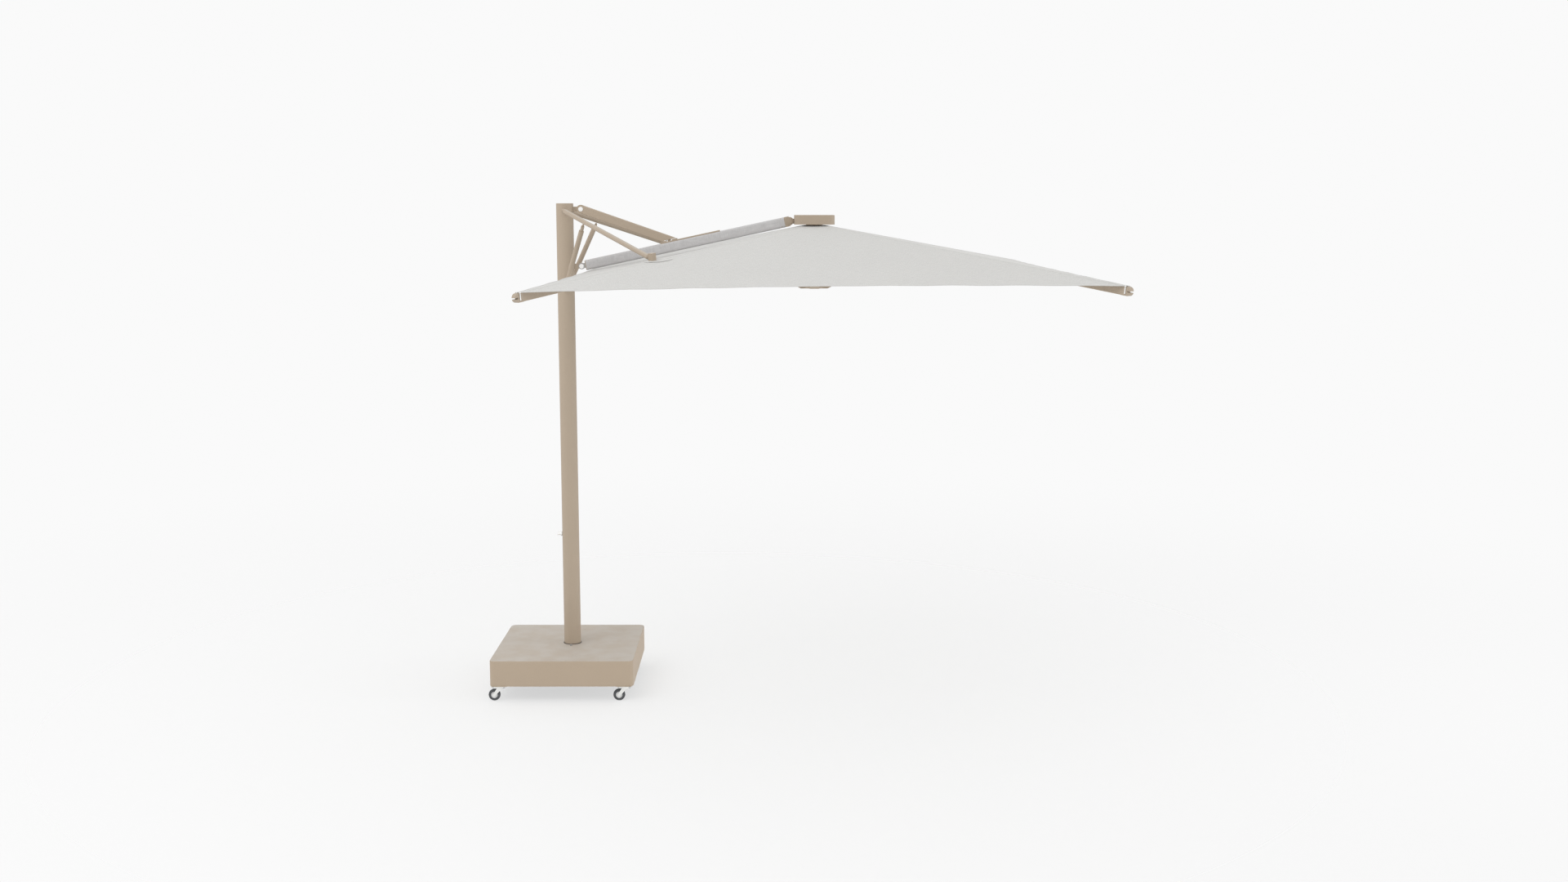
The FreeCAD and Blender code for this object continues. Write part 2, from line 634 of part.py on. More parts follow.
def make_knuckle():
    """The cast fork at the arm's outer end that carries the hub's pin."""
    length = size("knuckle_length")
    start = size("arm_length") - length
    half = size("knuckle_height") / 2
    width = size("arm_width")
    blank = block("knuckle_blank", S + "knuckle_length", S + "arm_width", S + "knuckle_height",
                  (start, -width / 2, -half))
    round_end = rod("knuckle_end", "Sizes.knuckle_height * 0.42", S + "arm_width",
                    (start + length, -width / 2, 0), "y")
    gap = block("knuckle_gap", "100", S + "tongue_thick * 2 + 2 * Sizes.lug_gap", "200",
                (size("arm_length") - size("eye_radius") - size("eye_clear"),
                 -size("tongue_thick") - size("lug_gap"), -100))
    nose = block("knuckle_nose", "100", S + "arm_width * 2", "200",
                 (size("arm_length") + 0.1 * half, -width, -100))
    bore = rod("knuckle_bore", S + "pin_radius", S + "arm_width * 2",
               (start + length, -width, 0), "y")
    body = fuse("knuckle_solid", cut("knuckle_back", blank, nose), round_end)
    keep(cut("knuckle_cut", body, gap, bore), "arm_knuckle", arm_place)
    shank = rod("hub_pin_shank", S + "pin_radius", S + "arm_width",
                (size("arm_length"), -width / 2, 0), "y")
    heads = [rod(f"hub_pin_head_{side + 1}", S + "pin_head + 3", "3",
                 (size("arm_length"), width / 2 if side > 0 else -width / 2 - 3, 0), "y")
             for side in (-1, 1)]
    keep(fuse("hub_pin_solid", shank, *heads), "hub_pin", arm_place)


def make_sleeve():
    """The zipped fabric sleeve round the arm, open along the track."""
    start = size("eye_radius") + size("eye_clear") + 4
    length = "(Sizes.arm_length - Sizes.knuckle_length - Sizes.eye_radius - Sizes.eye_clear - 8)"
    grow = "2 * (Sizes.sleeve_gap + Sizes.sleeve_thick)"
    outer = bar("sleeve_outer", length, f"(Sizes.arm_width + {grow})",
                f"(Sizes.arm_height + {grow})", "10")
    inner = bar("sleeve_inner", length + " + 20", "(Sizes.arm_width + 2 * Sizes.sleeve_gap)",
                "(Sizes.arm_height + 2 * Sizes.sleeve_gap)", "8")
    outer.Placement = at(start, 0, 0)
    inner.Placement = at(start - 10, 0, 0)
    slot = block("sleeve_slot", S + "track_length + 2 * Sizes.fabric_clear",
                 S + "track_width + 2 * Sizes.slide_clear", S + "arm_height",
                 (size("track_start") - size("fabric_clear"),
                  -size("track_width") / 2 - size("slide_clear"), size("arm_height") / 2 - 1))
    keep(cut("sleeve_cut", outer, inner, slot), "arm_sleeve", arm_place)


def make_track():
    """The channel on top of the arm that the strut's slider runs in."""
    half = size("track_width") / 2
    top = size("arm_height") / 2
    blank = block("track_blank", S + "track_length", S + "track_width", S + "track_height",
                  (size("track_start"), -half, top))
    groove = block("track_groove", S + "track_length - 2 * Sizes.track_wall",
                   S + "track_width - 2 * Sizes.track_wall", S + "track_height",
                   (size("track_start") + size("track_wall"), -half + size("track_wall"),
                    top + size("track_wall") / 2))
    keep(cut("track_cut", blank, groove), "arm_track", arm_place)


def make_slider():
    """The shoe that slides in the track, with two cheeks and the strut's cross pin."""
    width = size("track_width") - 2 * size("track_wall") - 2 * size("slide_clear")
    floor = size("arm_height") / 2 + size("track_wall") / 2 + size("slide_clear")
    place = size("slider_place")
    shoe = block("slider_shoe", S + "slider_length",
                 "(Sizes.track_width - 2 * Sizes.track_wall - 2 * Sizes.slide_clear)", "4",
                 (place - size("slider_back"), -width / 2, floor))
    inner = size("tongue_thick") / 2 + size("lug_gap")
    level = size("slider_pin_rise")
    cheeks = []
    for side in (-1, 1):
        y_low = inner if side > 0 else -inner - size("cheek_thick")
        cheek = block(f"slider_cheek_{side + 1}", "16", S + "cheek_thick",
                      "(Sizes.slider_pin_rise - Sizes.arm_height / 2 - Sizes.track_wall / 2"
                      " - Sizes.slide_clear)", (place - 8, y_low, floor))
        eye = rod(f"slider_eye_{side + 1}", "8", S + "cheek_thick", (place, y_low, level), "y")
        cheeks += [cheek, eye]
    heel = block("slider_heel", "34", "(Sizes.track_width - 2 * Sizes.track_wall - 4)",
                 "(Sizes.slider_pin_rise - Sizes.arm_height / 2 - Sizes.track_wall / 2"
                 " - Sizes.slide_clear)", (place + 18, -width / 2 + 1.5, floor))
    solid = fuse("slider_solid", shoe, heel, *cheeks)
    outer = inner + size("cheek_thick")
    pin = rod("slider_pin", S + "slider_pin_radius",
              "Sizes.tongue_thick + 2 * (Sizes.lug_gap + Sizes.cheek_thick)",
              (place, -outer, level), "y")
    keep(group("slider_group", cut("slider_cut", solid, pin), pin), "strut_slider", arm_place)


def make_strut():
    """The main strut: a rounded tube from its fork on the mast to a hook over the slider's pin."""
    place = along(strut_root, slider_pin)
    length = (slider_pin - strut_root).Length
    fall = math.degrees(math.asin((strut_root.z - slider_pin.z) / length))
    mitre = fall + size("arm_rise")
    half = size("strut_height") / 2
    width = size("fork_width")
    blank = block("strut_blank", f"{length} + Sizes.strut_tail", S + "fork_width", S + "strut_height",
                  (0, -width / 2, -half))
    doc.recompute()
    rounded = doc.addObject("Part::Fillet", "strut_rounded")
    rounded.Base = blank
    r = size("strut_round")
    rounded.Edges = [(i, r, r) for i, e in enumerate(blank.Shape.Edges, start=1)
                     if runs_along(e, Vector(1, 0, 0))]
    root = rod("strut_root", S + "strut_height / 2", S + "fork_width", (0, -width / 2, 0), "y")
    hollow = block("strut_hollow", f"{length - 150}", S + "fork_width - 2 * Sizes.strut_wall",
                   S + "strut_height - 2 * Sizes.strut_wall",
                   (half + 20, -width / 2 + size("strut_wall"), -half + size("strut_wall")))
    # tools set in the arm's own directions at the slider's pin
    at_pin = Placement(Vector(length, 0, 0), Rotation(Vector(0, 1, 0), -mitre))
    shave = block("strut_shave", "400", "200", "200", (0, 0, 0))
    shave.Placement = at_pin.multiply(at(-250, -100, size("strut_lift") - 200))
    room_half = size("tongue_thick") / 2 + size("lug_gap") + size("cheek_thick") + 1
    cheek_room = block("strut_cheek_room", "56",
                       "Sizes.tongue_thick + 2 * (Sizes.lug_gap + Sizes.cheek_thick + 1)",
                       "40", (0, 0, 0))
    cheek_room.Placement = at_pin.multiply(at(-32, -room_half, -26))
    slot = fork_slot("strut_slot", "100 + Sizes.eye_radius", -100)
    bore = rod("strut_bore", S + "pin_radius + Sizes.run_clear", S + "fork_width * 2",
               (0, -width, 0), "y")
    tube = cut("strut_tube", fuse("strut_blanks", rounded, root), hollow, shave, cheek_room,
               slot, bore)
    back = size("slider_pin_radius") + size("hook_room")
    front = size("slider_pin_radius") + 1
    wall = size("hook_wall")
    thick = size("tongue_thick")
    hook = block("strut_hook", f"{back + front + 2 * wall}", S + "tongue_thick", "30",
                 (0, 0, 0))
    hook.Placement = at_pin.multiply(at(-back - wall, -thick / 2, -5))
    notch = block("strut_notch", f"{back + front}", S + "tongue_thick * 2", "30", (0, 0, 0))
    notch.Placement = at_pin.multiply(at(-back, -thick, size("slider_pin_radius") - 29.5))
    keep(fuse("strut_solid", tube, cut("strut_hook_cut", hook, notch)), "main_strut", place)


# ---------------------------------------------------------------- hub and runner

hub_x = size("hub_reach")


def quarter_turns():
    """The four ribs' names, with the signs of their X and Y."""
    return (("near_left", -1, -1), ("near_right", 1, -1), ("far_right", 1, 1),
            ("far_left", -1, 1))


def rib_bearing(sx, sy):
    """A rib's plan direction, from the hub to its corner of the canopy."""
    return Vector(sx * size("canopy_length") / 2, sy * size("canopy_width") / 2, 0).normalize()


def ears(name, bearing, centre, length, height, gap, thick, inner):
    """Two upright plates either side of a plan direction, reaching out from the middle."""
    turn = Rotation(Vector(0, 0, 1), math.degrees(math.atan2(bearing.y, bearing.x)))
    plates = []
    for i, y_low in enumerate((gap / 2, -gap / 2 - thick)):
        plate = doc.addObject("Part::Box", f"{name}_{i}")
        plate.Length = length - inner
        plate.Width = thick
        plate.Height = height
        plate.Placement = Placement(centre, turn).multiply(at(inner, y_low, -height / 2))
        plates.append(plate)
    return plates


def make_hub():
    """The square cover over the hub, hollow underneath, with the tongue that the arm carries."""
    half = size("hub_size") / 2
    cover, sides = rounded_block("hub_cover", S + "hub_size", S + "hub_size", S + "hub_height",
                                 S + "hub_corner")
    round_edges(cover, sides, "hub_edge", "4", lambda e: top_rim(e, size("hub_height")))
    cover.Placement = at(hub_x, 0, size("hub_bottom"))
    room, _ = rounded_block("hub_room", S + "hub_size - 2 * Sizes.hub_wall",
                            S + "hub_size - 2 * Sizes.hub_wall",
                            S + "hub_height - Sizes.hub_wall + 1",
                            S + "hub_corner - Sizes.hub_wall")
    room.Placement = at(hub_x, 0, size("hub_bottom") - 1)
    thick = 2 * size("tongue_thick")
    level = arm_end.z
    eye = rod("hub_tongue_eye", S + "eye_radius", S + "tongue_thick * 2",
              (arm_end.x, -thick / 2, level), "y")
    web = block("hub_tongue_web", f"{hub_x - half - arm_end.x + 8}", S + "tongue_thick * 2",
                "Sizes.eye_radius * 1.6", (arm_end.x, -thick / 2, level - 0.8 * size("eye_radius")))
    bore = rod("hub_tongue_bore", S + "pin_radius + Sizes.run_clear", S + "tongue_thick * 4",
               (arm_end.x, -thick, level), "y")
    keep(cut("hub_cut", fuse("hub_solid", cut("hub_shell", cover, room), eye, web), bore),
         "hub_head")


def make_spider():
    """The casting under the hub with a pair of ears and a pin for each rib."""
    low = size("rib_pivot_height") - size("spider_height") / 2
    disc = rod("spider_disc", S + "spider_radius", S + "spider_height", (hub_x, 0, low))
    neck_height = size("hub_bottom") + size("hub_height") - size("hub_wall") - low
    neck = rod("spider_neck", S + "neck_radius", f"{neck_height}", (hub_x, 0, low))
    pieces = [disc, neck]
    pins = []
    bores = []
    gap = size("rib_width") + 2 * size("lug_gap")
    reach = size("rib_pivot_radius") + 13
    for name, sx, sy in quarter_turns():
        bearing = rib_bearing(sx, sy)
        centre = Vector(hub_x, 0, size("rib_pivot_height"))
        pieces += ears("spider_ear_" + name, bearing, centre, reach, 26, gap,
                       size("rib_lug_thick"), 60)
        across = Vector(-bearing.y, bearing.x, 0)
        pin_half = gap / 2 + size("rib_lug_thick")
        start = centre + bearing * size("rib_pivot_radius") - across * pin_half
        turn = Rotation(Vector(0, 0, 1), across)
        for kind, store in (("pin", pins), ("bore", bores)):
            thing = doc.addObject("Part::Cylinder", f"spider_{kind}_{name}")
            bind(thing, Radius=S + "rib_pin_radius")
            thing.Height = 2 * pin_half
            thing.Placement = Placement(start, turn)
            store.append(thing)
    keep(cut("spider_cut", fuse("spider_solid", *pieces), *bores), "hub_spider")
    keep(group("rib_pin_group", *pins), "rib_pins")


def make_runner():
    """The lower hub that hangs on the four braces."""
    level = size("rib_pivot_height") - size("runner_drop")
    low = level - size("runner_height") / 2
    disc = rod("runner_disc", S + "runner_radius", S + "runner_height", (hub_x, 0, low))
    cap = doc.addObject("Part::Cone", "runner_cap")
    cap.Radius1 = size("runner_radius") - 6
    cap.Radius2 = size("runner_radius") + 10
    cap.Height = 14
    cap.Placement = at(hub_x, 0, low - 6)
    pieces = [disc, cap]
    reach = size("wing_reach")
    root = reach - size("wing_taper")
    for i, half in enumerate((size("wing_half"), size("wing_half") - 7)):
        wing = doc.addObject("Part::Wedge", f"runner_wing_{i}")
        wing.Xmin, wing.Xmax = -root, root
        wing.X2min, wing.X2max = -reach, reach
        wing.Ymin, wing.Ymax = 0, size("wing_thick")
        wing.Zmin, wing.Zmax = -half, half
        wing.Z2min, wing.Z2max = -half, half
        stand = Rotation(Vector(1, 0, 0), 90)
        wing.Placement = Placement(Vector(hub_x, 0, low - 6),
                                   Rotation(Vector(0, 0, 1), 90 * i).multiply(stand))
        pieces.append(wing)
    gap = size("brace_eye_width") + 2 * size("lug_gap")
    for name, sx, sy in quarter_turns():
        pieces += ears("runner_ear_" + name, rib_bearing(sx, sy), Vector(hub_x, 0, level),
                       size("runner_ear") + 12, 24, gap, size("rib_lug_thick"), 50)
    keep(fuse("runner_solid", *pieces), "runner")


# ---------------------------------------------------------------- ribs, braces and side rods

def rib_frame(sx, sy):
    """Where a rib is hinged, and its placement with local X out along it."""
    bearing = rib_bearing(sx, sy)
    hinge = Vector(hub_x, 0, size("rib_pivot_height")) + bearing * size("rib_pivot_radius")
    drop = size("rib_below") + size("rib_height") / 2
    eave = size("eave_left") if sx < 0 else size("eave_right")
    corner = Vector(hub_x, 0, 0) + bearing * corner_reach()
    tip = Vector(corner.x, corner.y, eave - drop)
    return hinge, tip, along(hinge, tip)


def corner_reach():
    return math.hypot(size("canopy_length") / 2, size("canopy_width") / 2)


def make_rib(name, sx, sy):
    hinge, tip, place = rib_frame(sx, sy)
    length = (tip - hinge).Length + size("rib_over")
    root_end = size("rib_end_radius") + 12
    tube = bar("rib_bar_" + name, f"{length - root_end - size('tip_length')}",
               S + "rib_width", S + "rib_height", "5", S + "rib_wall")
    tube.Placement = at(root_end, 0, 0)
    half = size("rib_width") / 2
    eye = rod("rib_eye_" + name, S + "rib_end_radius", S + "rib_width", (0, -half, 0), "y")
    shank = block("rib_shank_" + name, f"{root_end + 0.01}", S + "rib_width",
                  "Sizes.rib_end_radius * 2", (0, -half, -size("rib_end_radius")))
    bore = rod("rib_bore_" + name, S + "rib_pin_radius + Sizes.run_clear", S + "rib_width * 2",
               (0, -2 * half, 0), "y")
    pieces = [tube, cut("rib_root_" + name, fuse("rib_root_solid_" + name, eye, shank), bore)]
    gap = size("brace_eye_width") + 2 * size("lug_gap")
    place_x = size("brace_place")
    drop = size("brace_drop")
    thick = size("rib_lug_thick")
    for i, y_low in enumerate((gap / 2, -gap / 2 - thick)):
        pieces.append(block(f"rib_ear_{name}_{i}", "26", S + "rib_lug_thick",
                            "Sizes.brace_drop - Sizes.rib_height / 2 + 13",
                            (place_x - 13, y_low, -drop - 12)))
    if sx < 0:
        pieces.append(block("rib_saddle_" + name, S + "saddle_long", S + "saddle_wide",
                            "Sizes.rod_lug_rise - Sizes.rib_height / 2 + Sizes.saddle_above + 1",
                            (size("rod_place") - size("saddle_long") / 2,
                             -size("saddle_wide") / 2, size("rib_height") / 2 - 1)))
    pin = rod("brace_pin_" + name, "Sizes.rib_pin_radius", f"{gap + 2 * thick}",
              (place_x, -gap / 2 - thick, -drop), "y")
    solid = cut("rib_cut_" + name, fuse("rib_solid_" + name, *pieces), pin)
    keep(group("rib_group_" + name, solid, pin), "rib_" + name, place)
    make_tip(name, length, place)
    make_brace(name, sx, sy, place)
    make_quarter(name, sx, sy)


def make_tip(name, length, place):
    """The moulded end of a rib, notched for the canopy's corner pin."""
    half = size("rib_width") / 2
    tall = size("rib_height")
    start = length - size("tip_length")
    blank = block("tip_blank_" + name, S + "tip_length - Sizes.rib_height / 2", S + "rib_width",
                  S + "rib_height", (start, -half, -tall / 2))
    nose = rod("tip_nose_" + name, S + "rib_height / 2", S + "rib_width",
               (length - tall / 2, -half, 0), "y")
    notch = block("tip_notch_" + name, "26", S + "rib_width * 2", "8",
                  (length - 22, -2 * half, -5))
    keep(cut("tip_cut_" + name, fuse("tip_solid_" + name, blank, nose), notch),
         "rib_tip_" + name, place)


def make_brace(name, sx, sy, place):
    """A brace from under a rib down to the runner's ear."""
    bearing = rib_bearing(sx, sy)
    top = place.multVec(Vector(size("brace_place"), 0, -size("brace_drop")))
    low = Vector(hub_x, 0, size("rib_pivot_height") - size("runner_drop"))
    low = low + bearing * size("runner_ear")
    span = (low - top).Length
    wide = size("brace_eye_width")
    flat = size("brace_flat")
    tube = doc.addObject("Part::Cylinder", "brace_tube_" + name)
    bind(tube, Radius=S + "brace_radius")
    tube.Height = span - 2 * flat
    tube.Placement = Placement(Vector(flat, 0, 0), TURNS["x"])
    ends = []
    for i, (x, x_low) in enumerate(((0, 0), (span, span - flat - 4))):
        ends.append(rod(f"brace_eye_{name}_{i}", S + "brace_eye", S + "brace_eye_width",
                        (x, -wide / 2, 0), "y"))
        ends.append(block(f"brace_flat_{name}_{i}", S + "brace_flat + 4", S + "brace_eye_width",
                          S + "brace_radius * 1.6", (x_low, -wide / 2, -0.8 * size("brace_radius"))))
    bores = [rod(f"brace_bore_{name}_{i}", S + "rib_pin_radius + Sizes.run_clear",
                 S + "brace_eye_width * 2", (x, -wide, 0), "y") for i, x in enumerate((0, span))]
    solid = cut("brace_cut_" + name, fuse("brace_solid_" + name, tube, *ends), *bores)
    keep(solid, "brace_" + name, along(top, low))


def make_quarter(name, sx, sy):
    """A quarter of the sewn canopy: the two half panels that lie either side of one rib."""
    apex = Vector(hub_x, 0, size("canopy_top"))
    eave = size("eave_left") if sx < 0 else size("eave_right")
    middle = (size("eave_left") + size("eave_right")) / 2
    top = size("canopy_top")
    half_long = size("canopy_length") / 2
    half_wide = size("canopy_width") / 2
    corner = Vector(hub_x + sx * half_long, sy * half_wide, eave)
    dip = 1 - size("eave_dip_short") / half_wide
    long_mid = Vector(hub_x, sy * half_wide * dip, top + (middle - top) * dip)
    dip = 1 - size("eave_dip_long") / half_long
    wide_mid = Vector(hub_x + sx * half_long * dip, 0, top + (eave - top) * dip)
    thick = Vector(0, 0, size("canopy_thick"))
    halves = []
    for mid in (long_mid, wide_mid):
        face = Part.Face(Part.makePolygon([apex, corner, mid, apex]))
        halves.append(face.extrude(thick))
    shape = halves[0].fuse(halves[1])
    hole = Part.makeCylinder(size("canopy_hole"), 200, Vector(hub_x, 0, top - 100))
    shape = shape.cut(hole)
    if sx < 0:
        place = rib_frame(sx, sy)[2]
        foot = place.multVec(Vector(size("rod_place"), 0, 0))
        window = Part.makeCylinder(size("saddle_long"), 300, foot - Vector(0, 0, 100))
        shape = shape.cut(window)
    thing = doc.addObject("Part::Feature", "quarter_" + name)
    thing.Shape = shape
    keep(thing, "canopy_" + name)


def rod_joint(sy):
    """The point beside a left rib's saddle, on the mast's side, where a side rod ends."""
    place = rib_frame(-1, sy)[2]
    y_dir = place.Rotation.multVec(Vector(0, 1, 0))
    flank = -1 if y_dir.x > 0 else 1
    offset = size("saddle_wide") / 2 + size("slide_clear") + size("rod_radius")
    return place.multVec(Vector(size("rod_place"), flank * offset, size("rod_lug_rise")))


def make_side_rod(name, sy):
    """A side rod from the mast's top to the flank of a left rib's saddle, and its gas spring."""
    root = side_root(sy, "rod_root_height")
    end = rod_joint(sy)
    run = along(root, end)
    length = (end - root).Length
    start = size("ball_radius") + 20
    tube = doc.addObject("PartDesign::Body", "side_tube_" + name)
    outline = sketch_on(tube, "YZ_Plane", "side_tube_outline_" + name)
    circle(outline, "outer", S + "rod_radius")
    circle(outline, "inner", S + "rod_radius - Sizes.rod_wall")
    pad(tube, outline, "side_tube_pad_" + name, f"{length - start}")
    tube.Placement = at(start, 0, 0)
    ball = doc.addObject("Part::Sphere", "side_ball_" + name)
    bind(ball, Radius=S + "ball_radius")
    stem = doc.addObject("Part::Cylinder", "side_stem_" + name)
    bind(stem, Radius=S + "boss_radius")
    stem.Height = start
    stem.Placement = Placement(Vector(0, 0, 0), TURNS["x"])
    plug = doc.addObject("Part::Cylinder", "side_plug_" + name)
    bind(plug, Radius=S + "rod_radius")
    plug.Height = 8
    plug.Placement = Placement(Vector(start - 4, 0, 0), TURNS["x"])
    tip = doc.addObject("Part::Sphere", "side_tip_" + name)
    bind(tip, Radius=S + "rod_radius")
    tip.Placement = at(length, 0, 0)
    keep(fuse("side_rod_solid_" + name, tube, ball, stem, plug, tip), "side_rod_" + name, run)
    make_gas_spring(name, sy, run)


def gas_top(run):
    """The point just under a side rod where its gas spring's end sits."""
    offset = size("rod_radius") + size("gas_drop") + size("boss_radius")
    return run.multVec(Vector(size("gas_place"), 0, -offset))


def make_gas_spring(name, sy, run):
    """A gas spring's cylinder, from its ball at the mast, and its piston up to the side rod."""
    root = side_root(sy, "gas_root_height")
    top = gas_top(run)
    place = along(root, top)
    length = (top - root).Length
    start = size("ball_radius") + 4
    ball = doc.addObject("Part::Sphere", "gas_ball_" + name)
    bind(ball, Radius=S + "ball_radius - 2")
    ball.Placement = Placement(Vector(0, 0, 0), TURNS["x"])
    stem = doc.addObject("Part::Cylinder", "gas_stem_" + name)
    stem.Radius = 5
    stem.Height = start + 6
    stem.Placement = Placement(Vector(0, 0, 0), TURNS["x"])
    barrel = doc.addObject("Part::Cylinder", "gas_barrel_" + name)
    bind(barrel, Radius=S + "gas_radius", Height=S + "gas_length")
    barrel.Placement = Placement(Vector(start, 0, 0), TURNS["x"])
    room = doc.addObject("Part::Cylinder", "gas_room_" + name)
    bind(room, Radius=S + "gas_radius - Sizes.gas_wall",
         Height=S + "gas_length - 2 * Sizes.gas_cap")
    room.Placement = Placement(Vector(start + size("gas_cap"), 0, 0), TURNS["x"])
    guide = doc.addObject("Part::Cylinder", "gas_guide_" + name)
    bind(guide, Radius=S + "gas_rod_radius + Sizes.run_clear", Height=S + "gas_length")
    guide.Placement = Placement(Vector(start + size("gas_cap"), 0, 0), TURNS["x"])
    keep(cut("gas_cut_" + name, fuse("gas_solid_" + name, ball, stem, barrel), room, guide),
         "gas_cylinder_" + name, place)
    inner_end = start + size("gas_cap") + size("gas_stroke") + 4
    rod_body = doc.addObject("Part::Cylinder", "piston_rod_" + name)
    bind(rod_body, Radius=S + "gas_rod_radius")
    rod_body.Height = length - inner_end
    rod_body.Placement = Placement(Vector(inner_end, 0, 0), TURNS["x"])
    piston = doc.addObject("Part::Cylinder", "piston_" + name)
    bind(piston, Radius=S + "gas_radius - Sizes.gas_wall - Sizes.run_clear")
    piston.Height = 12
    piston.Placement = Placement(Vector(inner_end, 0, 0), TURNS["x"])
    knob = doc.addObject("Part::Sphere", "piston_knob_" + name)
    bind(knob, Radius=S + "boss_radius")
    knob.Placement = at(length, 0, 0)
    foot = length - size("shroud_neck") - size("shroud_length")
    cover = doc.addObject("Part::Cylinder", "shroud_" + name)
    bind(cover, Radius=S + "shroud_radius", Height=S + "shroud_length")
    cover.Placement = Placement(Vector(foot, 0, 0), TURNS["x"])
    hollow = doc.addObject("Part::Cylinder", "shroud_hollow_" + name)
    bind(hollow, Radius=S + "shroud_radius - Sizes.shroud_wall", Height=S + "shroud_length")
    hollow.Placement = Placement(Vector(foot - 4, 0, 0), TURNS["x"])
    shroud = cut("shroud_cut_" + name, cover, hollow)
    collar = doc.addObject("Part::Cylinder", "collar_" + name)
    bind(collar, Radius=S + "collar_radius", Height=S + "shroud_neck - Sizes.boss_radius")
    collar.Placement = Placement(Vector(foot + size("shroud_length") - 2, 0, 0), TURNS["x"])
    keep(fuse("piston_solid_" + name, rod_body, piston, knob, shroud, collar),
         "gas_piston_" + name, place)


make_base()
make_chassis()
make_ballast()
make_socket()
make_castors()
make_mast()
make_winch()
make_button()
make_mast_brackets()
make_side_bosses()
make_arm()
make_knuckle()
make_sleeve()
make_track()
make_slider()
make_strut()
make_hub()
make_spider()
make_runner()
for rib_name, rib_sx, rib_sy in quarter_turns():
    make_rib(rib_name, rib_sx, rib_sy)
make_side_rod("near", -1)
make_side_rod("far", 1)

doc.recompute()
for thing in doc.Objects:
    if "Invalid" in thing.State or "Error" in thing.State:
        raise RuntimeError(f"{thing.Name} ({thing.Label}) failed: {thing.State}")
os.makedirs("parts", exist_ok=True)
for label, thing in subparts.items():
    shape = thing.Shape
    if shape.isNull() or not shape.isValid():
        raise RuntimeError(f"{label} has no valid shape")
    shape.exportStep(f"parts/{label}.step")
print(f"{len(subparts)} sub-parts written")
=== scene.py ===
# %% [markdown]
# A cantilever parasol hangs its canopy from an arm beside it, so the eye sees four things:
# a heavy square base on castors, a round mast, the coated linkage at the top, and a wide
# sheet of woven cloth on four ribs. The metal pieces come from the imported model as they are
# and only get their finishes here. The soft pieces and the wheels are modelled in this file,
# because their look depends on sewing, sag and moulding that a solid model leaves out.

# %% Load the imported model
import math

import bmesh
import bpy
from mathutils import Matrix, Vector


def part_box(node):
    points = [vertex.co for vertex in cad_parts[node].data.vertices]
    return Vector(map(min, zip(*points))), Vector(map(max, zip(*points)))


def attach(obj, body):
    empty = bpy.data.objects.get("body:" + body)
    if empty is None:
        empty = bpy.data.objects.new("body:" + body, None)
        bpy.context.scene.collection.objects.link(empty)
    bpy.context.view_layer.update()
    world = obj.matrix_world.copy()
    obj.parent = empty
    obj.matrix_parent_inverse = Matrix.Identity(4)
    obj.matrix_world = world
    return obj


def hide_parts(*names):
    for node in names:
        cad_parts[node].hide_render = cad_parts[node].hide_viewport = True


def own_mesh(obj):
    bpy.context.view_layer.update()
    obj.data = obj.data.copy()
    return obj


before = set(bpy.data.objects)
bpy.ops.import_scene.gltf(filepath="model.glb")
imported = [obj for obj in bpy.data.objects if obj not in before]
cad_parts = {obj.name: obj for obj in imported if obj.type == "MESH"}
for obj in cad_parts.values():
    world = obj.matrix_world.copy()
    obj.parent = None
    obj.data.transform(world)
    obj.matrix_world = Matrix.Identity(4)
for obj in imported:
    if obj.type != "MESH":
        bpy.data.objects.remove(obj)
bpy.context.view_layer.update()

# %% [markdown]
# The camera comes first, because every later choice is judged from it. It stands at about
# the canopy's own height and looks a little down, so the base shows its top while the canopy
# stays nearly edge on. A 37.8 mm lens on a 36 mm sensor gives that view from ten metres.

# %% Camera
camera_data = bpy.data.cameras.new("camera")
camera_data.lens = 37.8
camera_data.sensor_width = 36.0
camera = bpy.data.objects.new("camera", camera_data)
camera.location = (1.298, -10.1, 2.975)
camera.rotation_euler = (math.radians(81.882), 0, math.radians(-0.19))
bpy.context.scene.collection.objects.link(camera)
bpy.context.scene.camera = camera
print("camera at", [round(c, 3) for c in camera.location], "lens", camera_data.lens, "mm")

# %% [markdown]
# Node trees are easier to read when each node is one line. This helper adds a node, fills in
# its plain values and joins its inputs. A value that is itself a socket is linked, anything
# else is typed into the socket.

# %% Helpers for node trees


def add_node(tree, kind, settings=None, **inputs):
    """Add one node. Settings are its own properties; inputs go to its sockets by name."""
    made = tree.nodes.new(kind)
    for name, value in (settings or {}).items():
        setattr(made, name, value)
    for name, value in inputs.items():
        socket = made.inputs[int(name[1:])] if name[1:].isdigit() else made.inputs[
            name.replace("_", " ")]
        if isinstance(value, bpy.types.NodeSocket):
            tree.links.new(value, socket)
        else:
            socket.default_value = value
    return made


def maths(tree, operation, first, second=0.0, third=0.0):
    """One arithmetic step on sockets or numbers."""
    return add_node(tree, "ShaderNodeMath", {"operation": operation},
                    i0=first, i1=second, i2=third).outputs[0]


def fade(tree, value, start, stop, low=0.0, high=1.0):
    """Carry a value smoothly from one range to another."""
    return add_node(tree, "ShaderNodeMapRange", {"interpolation_type": "SMOOTHSTEP"},
                    Value=value, From_Min=start, From_Max=stop, To_Min=low,
                    To_Max=high).outputs["Result"]


def noise(tree, place, scale, detail=3.0, roughness=0.5):
    return add_node(tree, "ShaderNodeTexNoise", Vector=place, Scale=scale, Detail=detail,
                    Roughness=roughness).outputs[0]


def stretched(tree, place, scale):
    """The same place, stretched or squeezed along each axis."""
    return add_node(tree, "ShaderNodeMapping", Vector=place, Scale=scale).outputs[0]


